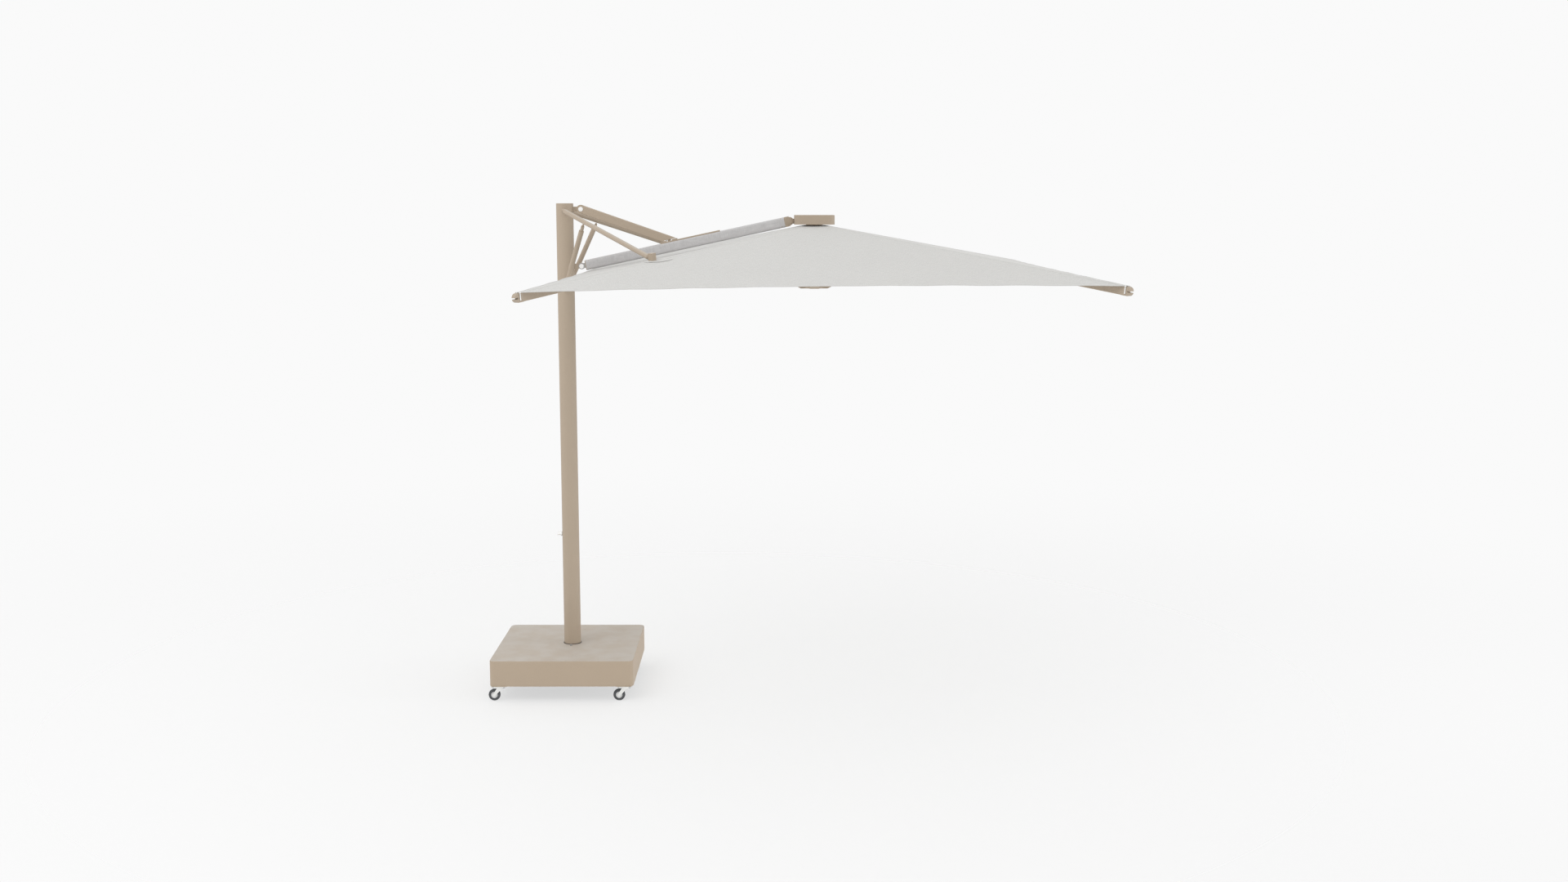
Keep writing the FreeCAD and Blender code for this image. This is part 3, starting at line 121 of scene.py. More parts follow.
def blend_colours(tree, factor, first, second):
    mixed = add_node(tree, "ShaderNodeMix", {"data_type": "RGBA"}, i0=factor, i6=first, i7=second)
    return mixed.outputs[2]


def effect_group(name, inputs, outputs):
    """An empty shader group with named number sockets, and its two ends."""
    group = bpy.data.node_groups.new(name, "ShaderNodeTree")
    for label, value in inputs.items():
        socket = group.interface.new_socket(label, in_out="INPUT", socket_type="NodeSocketFloat")
        socket.default_value = value
    for label in outputs:
        group.interface.new_socket(label, in_out="OUTPUT", socket_type="NodeSocketFloat")
    start = group.nodes.new("NodeGroupInput")
    end = group.nodes.new("NodeGroupOutput")
    return group, start, end


print("node helpers ready")

# %% [markdown]
# Powder coat is plastic dust baked onto metal. Up close it has a fine pebbled skin, the
# colour drifts very slightly from place to place, and the faces that look up are painted
# lighter and greyer: outdoor dust together with painted top light. All the coated pieces
# share this, so it is one group with three outputs: a tone to multiply the colour, a height
# for the bump, and a mask for the dust and the painted top light.

# %% Powder coat, dust and painted top light group


def coat_group():
    group, start, end = effect_group(
        "powder_coat_skin", {"Pebble Scale": 900.0, "Drift": 0.05, "Dust": 0.5},
        ("Tone", "Height", "Dust Mask"))
    coords = add_node(group, "ShaderNodeTexCoord")
    place = coords.outputs["Object"]
    slow = noise(group, place, 3.0, 2.0)
    fine = noise(group, place, 260.0, 2.0)
    drift = maths(group, "MULTIPLY", maths(group, "SUBTRACT", slow, 0.5),
                  start.outputs["Drift"])
    speck = maths(group, "MULTIPLY", maths(group, "SUBTRACT", fine, 0.5),
                  start.outputs["Drift"])
    tone = maths(group, "ADD", maths(group, "ADD", drift, speck), 1.0)
    pebble = add_node(group, "ShaderNodeTexNoise", Vector=place,
                      Scale=start.outputs["Pebble Scale"], Detail=2.0).outputs[0]
    # Faces that look up are blended towards a lighter grey: dust, and painted light on the tops.
    up = add_node(group, "ShaderNodeSeparateXYZ", Vector=coords.outputs["Normal"]).outputs[2]
    patchy = fade(group, noise(group, place, 9.0, 5.0), 0.25, 0.75, 0.55, 1.0)
    dust_and_top_light = maths(group, "MULTIPLY", fade(group, up, 0.55, 0.98), patchy)
    dust_and_top_light = maths(group, "MULTIPLY", dust_and_top_light, start.outputs["Dust"])
    group.links.new(tone, end.inputs["Tone"])
    group.links.new(pebble, end.inputs["Height"])
    group.links.new(dust_and_top_light, end.inputs["Dust Mask"])
    return group


coat_skin = coat_group()
print("made group", coat_skin.name, "with", len(coat_skin.nodes), "nodes")

# %% [markdown]
# Outdoor canopy cloth is a plain weave of yarns that are each dyed a little differently,
# which gives the heathered grey that changes from yarn to yarn. The group draws it from the
# piece's own UV map, whose unit is a metre of cloth, so the weave follows the sewn panel.
# Short slubs run along both yarn directions and a slow cloudiness keeps large areas alive.

# %% Woven cloth group


def weave_group():
    group, start, end = effect_group(
        "heathered_weave", {"Yarns per Metre": 700.0, "Heather": 0.12, "Cloud": 0.04},
        ("Shade", "Height"))
    place = add_node(group, "ShaderNodeUVMap", {"uv_map": "cloth"}).outputs[0]
    parts = add_node(group, "ShaderNodeSeparateXYZ", Vector=place)
    turn = maths(group, "MULTIPLY", start.outputs["Yarns per Metre"], 2 * math.pi)
    warp = maths(group, "SINE", maths(group, "MULTIPLY", parts.outputs[0], turn))
    weft = maths(group, "SINE", maths(group, "MULTIPLY", parts.outputs[1], turn))
    height = maths(group, "MULTIPLY_ADD", maths(group, "MULTIPLY", warp, weft), 0.5, 0.5)
    along_warp = noise(group, stretched(group, place, (330.0, 26.0, 1.0)), 1.0, 2.0)
    along_weft = noise(group, stretched(group, place, (26.0, 330.0, 1.0)), 1.0, 2.0)
    slub = maths(group, "SUBTRACT", maths(group, "ADD", along_warp, along_weft), 1.0)
    speckle = maths(group, "SUBTRACT", noise(group, place, 120.0, 4.0, 0.75), 0.5)
    heather = maths(group, "MULTIPLY", maths(group, "ADD", slub, speckle),
                    start.outputs["Heather"])
    cloud = maths(group, "MULTIPLY",
                  maths(group, "SUBTRACT", noise(group, place, 2.2, 3.0), 0.5),
                  start.outputs["Cloud"])
    shade = maths(group, "ADD", maths(group, "ADD", heather, cloud), 1.0)
    group.links.new(shade, end.inputs["Shade"])
    group.links.new(height, end.inputs["Height"])
    return group


cloth_weave = weave_group()
print("made group", cloth_weave.name, "with", len(cloth_weave.nodes), "nodes")

# %% [markdown]
# A finish is a Principled shader fed by one of the groups. Numbers that never change over
# the surface, such as sheen and specular level, are set straight on the shader.

# %% Coated metal
TAUPE = (0.425, 0.345, 0.262)
BASE_TAUPE = (0.44, 0.352, 0.262)
BLACK_OXIDE = (0.05, 0.05, 0.05)
# The lighter grey that upward faces blend towards: dust colour and painted top light together.
DUST_AND_TOP_LIGHT = (0.56, 0.53, 0.49, 1.0)


def new_material(name):
    made = bpy.data.materials.new(name)
    made.use_nodes = True
    tree = made.node_tree
    return made, tree, tree.nodes["Principled BSDF"]


def place_group(tree, group, **values):
    made = tree.nodes.new("ShaderNodeGroup")
    made.node_tree = group
    for name, value in values.items():
        made.inputs[name.replace("_", " ")].default_value = value
    return made


def scaled_colour(tree, colour, factor):
    """A colour made lighter or darker by a factor that changes over the surface."""
    return add_node(tree, "ShaderNodeVectorMath", {"operation": "SCALE"},
                    i0=colour, Scale=factor).outputs[0]


def coated_metal(name, colour, roughness=0.5, dust_and_top_light=0.5):
    made, tree, shader = new_material(name)
    skin = place_group(tree, coat_skin, Dust=dust_and_top_light, Drift=0.07)
    toned = scaled_colour(tree, colour, skin.outputs["Tone"])
    # Upward faces are painted lighter and greyer here: dust and painted top light.
    dusted_and_top_lit = blend_colours(tree, skin.outputs["Dust Mask"], toned, DUST_AND_TOP_LIGHT)
    tree.links.new(dusted_and_top_lit, shader.inputs["Base Color"])
    rough = maths(tree, "MULTIPLY_ADD", skin.outputs["Dust Mask"], 0.25, roughness)
    tree.links.new(rough, shader.inputs["Roughness"])
    bump = add_node(tree, "ShaderNodeBump", Strength=0.12, Distance=0.0004,
                    Height=skin.outputs["Height"])
    tree.links.new(bump.outputs[0], shader.inputs["Normal"])
    shader.inputs["Specular IOR Level"].default_value = 0.4
    return made


taupe_coat = coated_metal("taupe_powder_coat", TAUPE)
# The base's top gets the strongest painted top light and dust.
taupe_base = coated_metal("taupe_base_coat", BASE_TAUPE, roughness=0.55, dust_and_top_light=0.8)
dark_steel = coated_metal("black_oxide_steel", BLACK_OXIDE, roughness=0.55, dust_and_top_light=0.1)
print("coated finishes:", taupe_coat.name, taupe_base.name, dark_steel.name)

# %% [markdown]
# Bare metal pieces are the pins, the bolts, the lock button, the cast eye at the arm's root
# and the castors' plates and forks. Brushed steel shows fine scratches in one direction, which
# here are a noise stretched along the upright axis, and its roughness varies in spots.

# %% Bare metal


def bare_metal(name, colour, roughness, scratch, metallic):
    made, tree, shader = new_material(name)
    place = add_node(tree, "ShaderNodeTexCoord").outputs["Object"]
    lines = noise(tree, stretched(tree, place, (900.0, 900.0, 40.0)), 1.0, 2.0)
    spots = noise(tree, place, 35.0, 4.0)
    tone = maths(tree, "MULTIPLY_ADD", lines, 2 * scratch, 1.0 - scratch)
    tree.links.new(scaled_colour(tree, colour, tone), shader.inputs["Base Color"])
    rough = maths(tree, "MULTIPLY_ADD", spots, 0.2, roughness - 0.1)
    tree.links.new(rough, shader.inputs["Roughness"])
    bump = add_node(tree, "ShaderNodeBump", Strength=0.1, Distance=0.0002, Height=lines)
    tree.links.new(bump.outputs[0], shader.inputs["Normal"])
    shader.inputs["Metallic"].default_value = metallic
    return made


bright_steel = bare_metal("zinc_plated_steel", (0.86, 0.86, 0.84), 0.32, scratch=0.06,
                          metallic=0.9)
pin_steel = bare_metal("stainless_pin", (0.93, 0.93, 0.92), 0.3, scratch=0.03,
                       metallic=0.35)
eye_steel = bare_metal("cast_eye_steel", (0.42, 0.41, 0.40), 0.42, scratch=0.08,
                       metallic=0.6)
print("bare metals:", bright_steel.name, pin_steel.name, eye_steel.name)

# %% [markdown]
# Moulded pieces are the castor tyres and hubs, the rib ends, the ring at the mast's foot
# and the concrete weights. The ring is coloured near black as painted shade for the gap at
# the mast's foot. Moulded plastic has a very fine spark-eroded grain. Rubber is the same
# thing darker and rougher, with scuffs, and concrete is coarser still.

# %% Moulded plastic, rubber and concrete
SCUFF_GREY = (0.5, 0.49, 0.47, 1.0)


def moulded(name, colour, roughness, grain=700.0, scuff=0.0, depth=0.0003):
    made, tree, shader = new_material(name)
    place = add_node(tree, "ShaderNodeTexCoord").outputs["Object"]
    fine = noise(tree, place, grain, 2.0)
    marks = fade(tree, noise(tree, stretched(tree, place, (60.0, 9.0, 60.0)), 1.0, 6.0, 0.7),
                 0.52, 0.72)
    mottled = scaled_colour(tree, colour, maths(tree, "MULTIPLY_ADD", fine, 0.16, 0.92))
    worn = blend_colours(tree, maths(tree, "MULTIPLY", marks, scuff), mottled, SCUFF_GREY)
    tree.links.new(worn, shader.inputs["Base Color"])
    rough = maths(tree, "MULTIPLY_ADD", marks, 0.15, roughness)
    tree.links.new(rough, shader.inputs["Roughness"])
    bump = add_node(tree, "ShaderNodeBump", Strength=0.25, Distance=depth, Height=fine)
    tree.links.new(bump.outputs[0], shader.inputs["Normal"])
    return made


tyre_rubber = moulded("tyre_rubber", (0.065, 0.068, 0.072), 0.6, grain=400.0, scuff=0.2)
hub_plastic = moulded("wheel_hub_plastic", (0.72, 0.72, 0.71), 0.45)
tip_plastic = moulded("rib_end_plastic", (0.41, 0.335, 0.255), 0.45, grain=600.0, scuff=0.08)
# Near black as painted shade for the gap at the mast's foot.
painted_shade_ring = moulded("foot_ring_painted_shade", (0.05, 0.045, 0.04), 0.5)
ballast_concrete = moulded("cast_concrete", (0.5, 0.49, 0.46), 0.9, grain=90.0, scuff=0.5,
                           depth=0.002)
print("moulded finishes:", tyre_rubber.name, hub_plastic.name, tip_plastic.name)

# %% [markdown]
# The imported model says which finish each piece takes. A piece of metal whose shape is right
# keeps its mesh, so dressing it is only a matter of putting a material in its slot.

# %% Dress the metal pieces


def dress(material, *nodes):
    for node in nodes:
        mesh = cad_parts[node].data
        mesh.materials.clear()
        mesh.materials.append(material)


RIBS = ("near_left", "near_right", "far_right", "far_left")
SIDES = ("near", "far")
CASTORS = range(1, 5)
dress(taupe_base, "base_shell")
dress(taupe_coat, "mast_tube", "mast_cap", "side_bosses", "arm_tube", "arm_track",
      "arm_knuckle", "main_strut", "hub_head", "hub_spider", "runner", "arm_bracket",
      "strut_bracket", "hub_pin", "strut_slider",
      *(part + rib for part in ("rib_", "brace_") for rib in RIBS),
      *(part + side for part in ("side_rod_", "gas_cylinder_", "gas_piston_")
        for side in SIDES))
dress(dark_steel, "chassis_plate", "mast_socket", "winch_case", "castor_screws")
dress(ballast_concrete, "ballast_blocks")
dress(bright_steel, "castor_plates", "socket_bolts",
      *(f"castor_fork_{number}" for number in CASTORS))
dress(pin_steel, "arm_pin", "strut_pin", "rib_pins", "winch_spindle")
dress(eye_steel, "arm_eye", "lock_button")
dress(painted_shade_ring, "foot_ring")
dress(tip_plastic, *("rib_tip_" + rib for rib in RIBS))
print("dressed", sum(1 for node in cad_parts.values() if node.data.materials), "pieces")

# %% [markdown]
# Every new piece is built in a bmesh and then handed to one function, which makes its mesh
# and object, gives it its finishes, and hangs it on the body that carries it. A closed shape
# has its faces turned outward first, and a sheet keeps the side that it was made with.

# %% Helpers for new pieces
CRISP_ANGLE = math.radians(50)
MERGE = 1e-6


def finish_piece(name, shape, finishes, body, closed=True):
    """Turn a bmesh into a finished piece that rides on a body."""
    mesh = bpy.data.meshes.new(name)
    if closed:
        bmesh.ops.recalc_face_normals(shape, faces=shape.faces)
    shape.to_mesh(mesh)
    shape.free()
    mesh.polygons.foreach_set("use_smooth", [True] * len(mesh.polygons))
    for finish in finishes:
        mesh.materials.append(finish)
    piece = bpy.data.objects.new(name, mesh)
    bpy.context.scene.collection.objects.link(piece)
    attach(piece, body)
    return piece


def thicken(piece, thickness, offset):
    """Give a sheet its thickness for good, and keep its cut edges crisp."""
    solid = piece.modifiers.new("thickness", "SOLIDIFY")
    solid.thickness = thickness
    solid.offset = offset
    ready = piece.evaluated_get(bpy.context.evaluated_depsgraph_get())
    thick = bpy.data.meshes.new_from_object(ready)
    piece.modifiers.clear()
    thin = piece.data
    piece.data = thick
    bpy.data.meshes.remove(thin)
    thick.name = piece.name
    thick.set_sharp_from_angle(angle=CRISP_ANGLE)


print("piece helpers ready")

# %% [markdown]
# The castor wheel is moulded in two shots: a grey hub with a recessed face, and a dark
# rubber tyre with a crowned tread. Both are turned shapes, so the wheel's half section is
# drawn once and spun about its axle. The faces on the tyre's part of the section get the
# rubber, the rest the hub's plastic.

# %% Castor wheels
WHEEL_RADIUS = 0.036
WHEEL_HALF = 0.011
AXLE_BORE = 0.0041
RIM = 0.0195
WHEEL_SECTION = (
    (AXLE_BORE, -WHEEL_HALF), (0.0085, -WHEEL_HALF), (0.0095, -0.0085), (0.0165, -0.0085),
    (0.0175, -0.0100), (RIM, -0.0104), (0.0210, -0.0110), (0.0290, -0.0110),
    (0.0332, -0.0098), (0.0352, -0.0066), (WHEEL_RADIUS, 0.0), (0.0352, 0.0066),
    (0.0332, 0.0098), (0.0290, 0.0110), (0.0210, 0.0110), (RIM, 0.0104), (0.0175, 0.0100),
    (0.0165, 0.0085), (0.0095, 0.0085), (0.0085, WHEEL_HALF), (AXLE_BORE, WHEEL_HALF),
)


def castor_wheel(number):
    low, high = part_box(f"castor_wheel_{number}")
    centre = (Vector(low) + Vector(high)) / 2
    shape = bmesh.new()
    ring = [shape.verts.new(centre + Vector((0, y, r))) for r, y in WHEEL_SECTION]
    edges = [shape.edges.new(pair) for pair in zip(ring, ring[1:] + ring[:1])]
    bmesh.ops.spin(shape, geom=ring + edges, cent=centre, axis=(0, 1, 0),
                   angle=2 * math.pi, steps=64, use_merge=True, use_duplicate=False)
    bmesh.ops.remove_doubles(shape, verts=shape.verts, dist=MERGE)
    for face in shape.faces:
        middle = face.calc_center_median() - centre
        face.material_index = 0 if math.hypot(middle.x, middle.z) > RIM else 1
    wheel = finish_piece(f"wheel_{number}", shape, [tyre_rubber, hub_plastic],
                         f"wheel_{number}")
    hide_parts(f"castor_wheel_{number}")
    return wheel


wheels = [castor_wheel(number) for number in CASTORS]
print("wheels:", len(wheels), "with", len(wheels[0].data.polygons), "faces each")

# %% [markdown]
# The canopy is cut from four triangles that meet along the ribs and at the hub. Each panel is
# pulled nearly flat, its eave is cut hollow so that it stays tight, and it sags a little
# under its own weight. A point on it is found from two numbers: how far it is from the hub
# to the eave, and how far it is from the rib to the middle of the panel. The eave is a little
# higher away from the mast, and near it the cloth puckers in shallow waves. At the hub the
# cloth is pressed flat under the cover. The canopy is made as four quarters, each on its own
# rib, because it has to follow the ribs when they fold.

# %% Where the canopy cloth lies
CLOTH_THICKNESS = 0.0012
HUB_OPENING = 0.084
HUB_CLAMP_GAP = 0.0022
CLAMP_EASE = 0.006
SIDE_HOLLOW = {"long": 0.075 / 2.0, "short": 0.110 / 1.5}
PANEL_SAG = 0.012
PUCKER = 0.0012
PUCKERS = 9
PUCKER_FADE = 8
EAVE_STEP = 0.032
HUB_ABOVE_COVER_UNDERSIDE = 0.007

canopy_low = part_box("canopy_near_left")[0]
hub_low, hub_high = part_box("hub_spider")
EAVE_HEIGHT = {-1: canopy_low[2], 1: canopy_low[2] + EAVE_STEP}
COVER_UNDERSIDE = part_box("hub_head")[0][2]
HUB = Vector(((hub_low[0] + hub_high[0]) / 2, 0.0,
              COVER_UNDERSIDE + HUB_ABOVE_COVER_UNDERSIDE))
HALF_LENGTH = HUB.x - canopy_low[0]
HALF_WIDTH = -canopy_low[1]
QUARTER = {"near_left": (-1, -1), "near_right": (1, -1), "far_right": (1, 1),
           "far_left": (-1, 1)}


def eave_point(rib, across):
    """Where the eave is, from the hub. Across is 0 at the rib, -1 and 1 at panel middles."""
    sx, sy = QUARTER[rib]
    corner = Vector((sx * HALF_LENGTH, sy * HALF_WIDTH, EAVE_HEIGHT[sx] - HUB.z))
    if across < 0:
        level = (EAVE_HEIGHT[-1] + EAVE_HEIGHT[1]) / 2
        middle = Vector((0, sy * HALF_WIDTH, level - HUB.z))
        hollow = SIDE_HOLLOW["long"]
    else:
        middle = Vector((sx * HALF_LENGTH, 0, EAVE_HEIGHT[sx] - HUB.z))
        hollow = SIDE_HOLLOW["short"]
    share = min(abs(across), 1.0)
    return corner.lerp(middle, share) * (1 - hollow * (2 * share - share * share))


def cloth_point(rib, reach, across):
    """A point of the cloth, with reach 0 at the hub and 1 at the eave."""
    share = min(abs(across), 1.0)
    place = HUB + eave_point(rib, across) * reach
    belly = (2 * share - share * share) * (1 - (2 * reach - 1) ** 2)
    pucker = (reach ** PUCKER_FADE * 4 * share * (1 - share)
              * math.cos(PUCKERS * math.pi * share))
    place.z -= PANEL_SAG * belly + PUCKER * pucker
    lid = COVER_UNDERSIDE - HUB_CLAMP_GAP - CLAMP_EASE
    if place.z > lid:
        place.z = lid + CLAMP_EASE * (1 - math.exp((lid - place.z) / CLAMP_EASE))
    return place


print("canopy is", round(2 * HALF_LENGTH, 3), "by", round(2 * HALF_WIDTH, 3), "m")

# %% [markdown]
# A flat grid is the easiest start for cloth: it has clean rows in both directions, so each
# vertex only has to be moved to its place on the panel. The columns crowd towards the rib,
# which keeps the ridge crisp. The same helper makes the tapes later on.

# %% A cloth grid


def cloth_grid(columns, rows, place):
    """A sheet whose grid is moved to place(u, v) -> (point, cloth coordinates in metres)."""
    shape = bmesh.new()
    bmesh.ops.create_grid(shape, x_segments=columns, y_segments=rows, size=1.0)
    layer = shape.loops.layers.uv.new("cloth")
    spots = {}
    for vert in shape.verts:
        point, spot = place(vert.co.x, vert.co.y)
        vert.co = point
        spots[vert] = spot
    for face in shape.faces:
        for loop in face.loops:
            loop[layer].uv = spots[loop.vert]
    shape.normal_update()
    if sum(face.normal.z * face.calc_area() for face in shape.faces) < 0:
        bmesh.ops.reverse_faces(shape, faces=shape.faces)
    return shape


def sheet_area(piece):
    return sum(face.area for face in piece.data.polygons)


print("cloth helpers ready")

# %% [markdown]
# The canopy cloth and the arm's sleeve are the same weave in two shades. Acrylic cloth is
# matt with a soft glow at grazing angles, which is what sheen gives. The tapes add two rows
# of stitches, drawn as short dashes a few millimetres from each edge.

# %% Cloth finishes
STITCH_ROW = 0.013
STITCH_LENGTH = 0.006
THREAD = (0.68, 0.67, 0.65, 1.0)


def woven_cloth(name, colour, heather, stitch_rows=None):
    made, tree, shader = new_material(name)
    weave = place_group(tree, cloth_weave, Heather=heather)
    shade = weave.outputs["Shade"]
    height = weave.outputs["Height"]
    colour_socket = scaled_colour(tree, colour, shade)
    if stitch_rows is not None:
        place = add_node(tree, "ShaderNodeUVMap", {"uv_map": "cloth"}).outputs[0]
        parts = add_node(tree, "ShaderNodeSeparateXYZ", Vector=place)
        away = maths(tree, "ABSOLUTE", maths(
            tree, "SUBTRACT", maths(tree, "ABSOLUTE", parts.outputs[0]), stitch_rows))
        row = fade(tree, away, 0.0014, 0.0005)
        dashes = maths(tree, "SINE", maths(tree, "MULTIPLY", parts.outputs[1],
                                           2 * math.pi / STITCH_LENGTH))
        stitch = maths(tree, "MULTIPLY", row, fade(tree, dashes, -0.5, 0.1))
        colour_socket = blend_colours(tree, maths(tree, "MULTIPLY", stitch, 0.6),
                                      colour_socket, THREAD)
        height = maths(tree, "ADD", maths(tree, "MULTIPLY", height, 0.5), stitch)
    tree.links.new(colour_socket, shader.inputs["Base Color"])
    bump = add_node(tree, "ShaderNodeBump", Strength=0.35, Distance=0.0005, Height=height)
    tree.links.new(bump.outputs[0], shader.inputs["Normal"])
    shader.inputs["Roughness"].default_value = 0.9
    shader.inputs["Sheen Weight"].default_value = 0.25
    shader.inputs["Sheen Roughness"].default_value = 0.5
    shader.inputs["Specular IOR Level"].default_value = 0.2
    return made


canopy_cloth = woven_cloth("canopy_cloth", (0.575, 0.57, 0.55), 0.34)
canopy_tape = woven_cloth("canopy_tape", (0.57, 0.565, 0.545), 0.3, STITCH_ROW)
sleeve_cloth = woven_cloth("sleeve_cloth", (0.55, 0.54, 0.54), 0.3)
print("cloth finishes:", canopy_cloth.name, canopy_tape.name, sleeve_cloth.name)

# %% [markdown]
# Each quarter rides on its rib. When the arm rises, the rib folds down through about 70
# degrees, and the cloth beside it gathers towards the rib, so that the quarters hang as four
# leaves, which overlap near the hub and part below. Here each piece of canopy only gets its
# own copy of its mesh, and the gather is not drawn.

# %% Canopy quarters
COLUMNS = 72
ROWS = 90
RIDGE_CROWDING = 1.5


def quarter_spot(rib):
    def place(u, v):
        across = math.copysign(abs(u) ** RIDGE_CROWDING, u)
        opening = HUB_OPENING / eave_point(rib, across).xy.length
        reach = opening + (1 - opening) * (v + 1) / 2
        point = cloth_point(rib, reach, across)
        return point, (point.x, point.y)
    return place


def gather(piece):
    """Give a piece of canopy its own copy of its mesh."""
    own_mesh(piece)


canopy = {}
for rib in RIBS:
    cut = finish_piece("canopy_cloth_" + rib, cloth_grid(COLUMNS, ROWS, quarter_spot(rib)),
                       [canopy_cloth], "rib_" + rib, closed=False)
    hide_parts("canopy_" + rib)
    canopy[rib] = cut
    print(cut.name, "area", round(sheet_area(cut), 3), "square metres")

# %% [markdown]
# Along each rib two panels are joined, and the seam is covered with a tape 34 mm wide. Along
# the eave the cloth is turned under into a hem. Both are strips of the same cloth: a grid
# with a few columns across the tape, laid on the surface of the canopy. The ridge tape narrows
# near the hub, where the ribs are close together.

# %% Ridge tapes and eave hems
TAPE_HALF = 0.017
TAPE_FROM = 0.055
TAPE_TO = 0.997
TAPE_TAPER = 0.06
TAPE_THICKNESS = 0.0006
HEM_DEPTH = 0.030
HEM_THICKNESS = 0.0030
HEM_EDGE = 1.0005
HEM_STITCH_SHIFT = 0.003
HEM_CLOTH_HALF = 1.75
PROBE = 0.01
NEAR_RIDGE = 0.001


def rise(rib, reach, across):
    """The cloth's upward normal, from two short steps on it."""
    here = cloth_point(rib, reach, across)
    out = cloth_point(rib, reach + PROBE, across) - here
    step = PROBE if across >= 0 else -PROBE
    side = cloth_point(rib, reach, across + step) - here
    normal = out.cross(side).normalized()
    return normal if normal.z > 0 else -normal


def spread(rib):
    """How far one unit of across reaches sideways from the rib, at the eave."""
    ridge = eave_point(rib, 0).xy
    middle = eave_point(rib, 1).xy
    return abs(middle.x * ridge.y - middle.y * ridge.x) / ridge.length


def ridge_spot(rib):
    length = eave_point(rib, 0).length

    def place(u, v):
        reach = TAPE_FROM + (TAPE_TO - TAPE_FROM) * (v + 1) / 2
        sideways = u * min(TAPE_HALF, TAPE_HALF * reach / TAPE_TAPER)
        across = sideways / (spread(rib) * reach)
        point = (cloth_point(rib, reach, across)
                 + rise(rib, reach, across or NEAR_RIDGE) * CLOTH_THICKNESS)
        return point, (sideways, reach * length)
    return place


def hem_spot(rib):
    def place(u, v):
        depth = HEM_DEPTH * (1 - v) / 2
        reach = HEM_EDGE - depth / eave_point(rib, u).length
        point = cloth_point(rib, reach, u)
        point.z += CLOTH_THICKNESS / 2
        return point, (depth - HEM_DEPTH / 2 + HEM_STITCH_SHIFT, u * HEM_CLOTH_HALF)
    return place


trims = {}
for rib in RIBS:
    ridge = finish_piece("ridge_tape_" + rib, cloth_grid(6, ROWS, ridge_spot(rib)),
                         [canopy_tape], "rib_" + rib, closed=False)
    hem = finish_piece("eave_hem_" + rib, cloth_grid(120, 3, hem_spot(rib)),
                       [canopy_tape], "rib_" + rib, closed=False)
    trims[rib] = [ridge, hem]
    print(ridge.name, round(sheet_area(ridge), 3), hem.name, round(sheet_area(hem), 3))

# %% [markdown]
# Where a side rod's saddle comes up through the cloth, a doubled patch is sewn on to take the
# rubbing. The patch is a small rounded sheet lying over the ridge. Real cloth has a hole there,
# but here the saddle simply passes through both sheets, which hides the missing hole.

# %% Patches round the saddles
SADDLE_REACH = 0.5967
PATCH_HALF = 0.058
PATCH_LONGER = 1.15
PATCH_ROUNDING = 0.16
PATCH_ABOVE_CLOTH = 0.0016
PATCH_THICKNESS = 0.0012
PATCH_STITCH_INSET = 0.005


def patch_spot(rib):
    length = eave_point(rib, 0).length

    def place(u, v):
        pull = 1 - PATCH_ROUNDING * u * u * v * v
        reach = SADDLE_REACH + v * pull * PATCH_HALF * PATCH_LONGER / length
        sideways = u * pull * PATCH_HALF
        across = sideways / (spread(rib) * reach)
        point = (cloth_point(rib, reach, across)
                 + rise(rib, reach, across or NEAR_RIDGE) * (CLOTH_THICKNESS + PATCH_ABOVE_CLOTH))
        stitched = sideways * STITCH_ROW / (PATCH_HALF - PATCH_STITCH_INSET)
        return point, (stitched, v * PATCH_HALF)
    return place


for rib in ("near_left", "far_left"):
    patch = finish_piece("saddle_patch_" + rib, cloth_grid(16, 16, patch_spot(rib)),
                         [canopy_tape], "rib_" + rib, closed=False)
    trims[rib].append(patch)
    print(patch.name, round(sheet_area(patch), 4))

# %% [markdown]
# Cloth has two sides, so each sheet now gets its thickness and then its own copy of its mesh.

# %% Thickness and own meshes
for rib in RIBS:
    thicken(canopy[rib], CLOTH_THICKNESS, 1.0)
    ridge, hem, *patches = trims[rib]
    thicken(ridge, TAPE_THICKNESS, 1.0)
    thicken(hem, HEM_THICKNESS, 0.0)
    for patch in patches:
        thicken(patch, PATCH_THICKNESS, 1.0)
    for piece in (canopy[rib], *trims[rib]):
        gather(piece)

# %% [markdown]
# The arm wears a sewn sleeve of the same kind of cloth, one shade cooler. It is a tube with
# rounded corners that grips at both cuffs and wrinkles very slightly between them, and it is
# open on top where the strut's track comes through. A tube is easiest as an open cone of
# equal radii, cut into rings and then mapped onto the arm. Its creases are three sine waves
# whose lengths don't match, so that no two creases look alike.

# %% Arm sleeve
pin_low, pin_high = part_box("arm_pin")
ARM_ROOT = (Vector(pin_low) + Vector(pin_high)) / 2
ARM_RISE = math.radians(12.1)
ARM_DIR = Vector((math.cos(ARM_RISE), 0, math.sin(ARM_RISE)))
ARM_UP = Vector((-math.sin(ARM_RISE), 0, math.cos(ARM_RISE)))
SLEEVE_FROM = 0.029
SLEEVE_LENGTH = 1.236
SLEEVE_WIDE = 0.0250
SLEEVE_TALL = 0.0311
TRACK_FROM = 0.497
TRACK_TO = 0.873
TRACK_HALF = 0.0195
TRACK_EASE = 0.01
CORNER_POWER = 0.42
SLEEVE_MEAN_RADIUS = 0.033
SLEEVE_THICKNESS = 0.0011
CUFF_DEPTH = 0.035
CUFF_FROM_END = 0.022
CUFF_WIDTH = 0.006
CREASE_DEPTH = 0.010
SMOOTH_END = 0.05


def on_arm(along, side, above):
    return ARM_ROOT + ARM_DIR * along + Vector((0, side, 0)) + ARM_UP * above


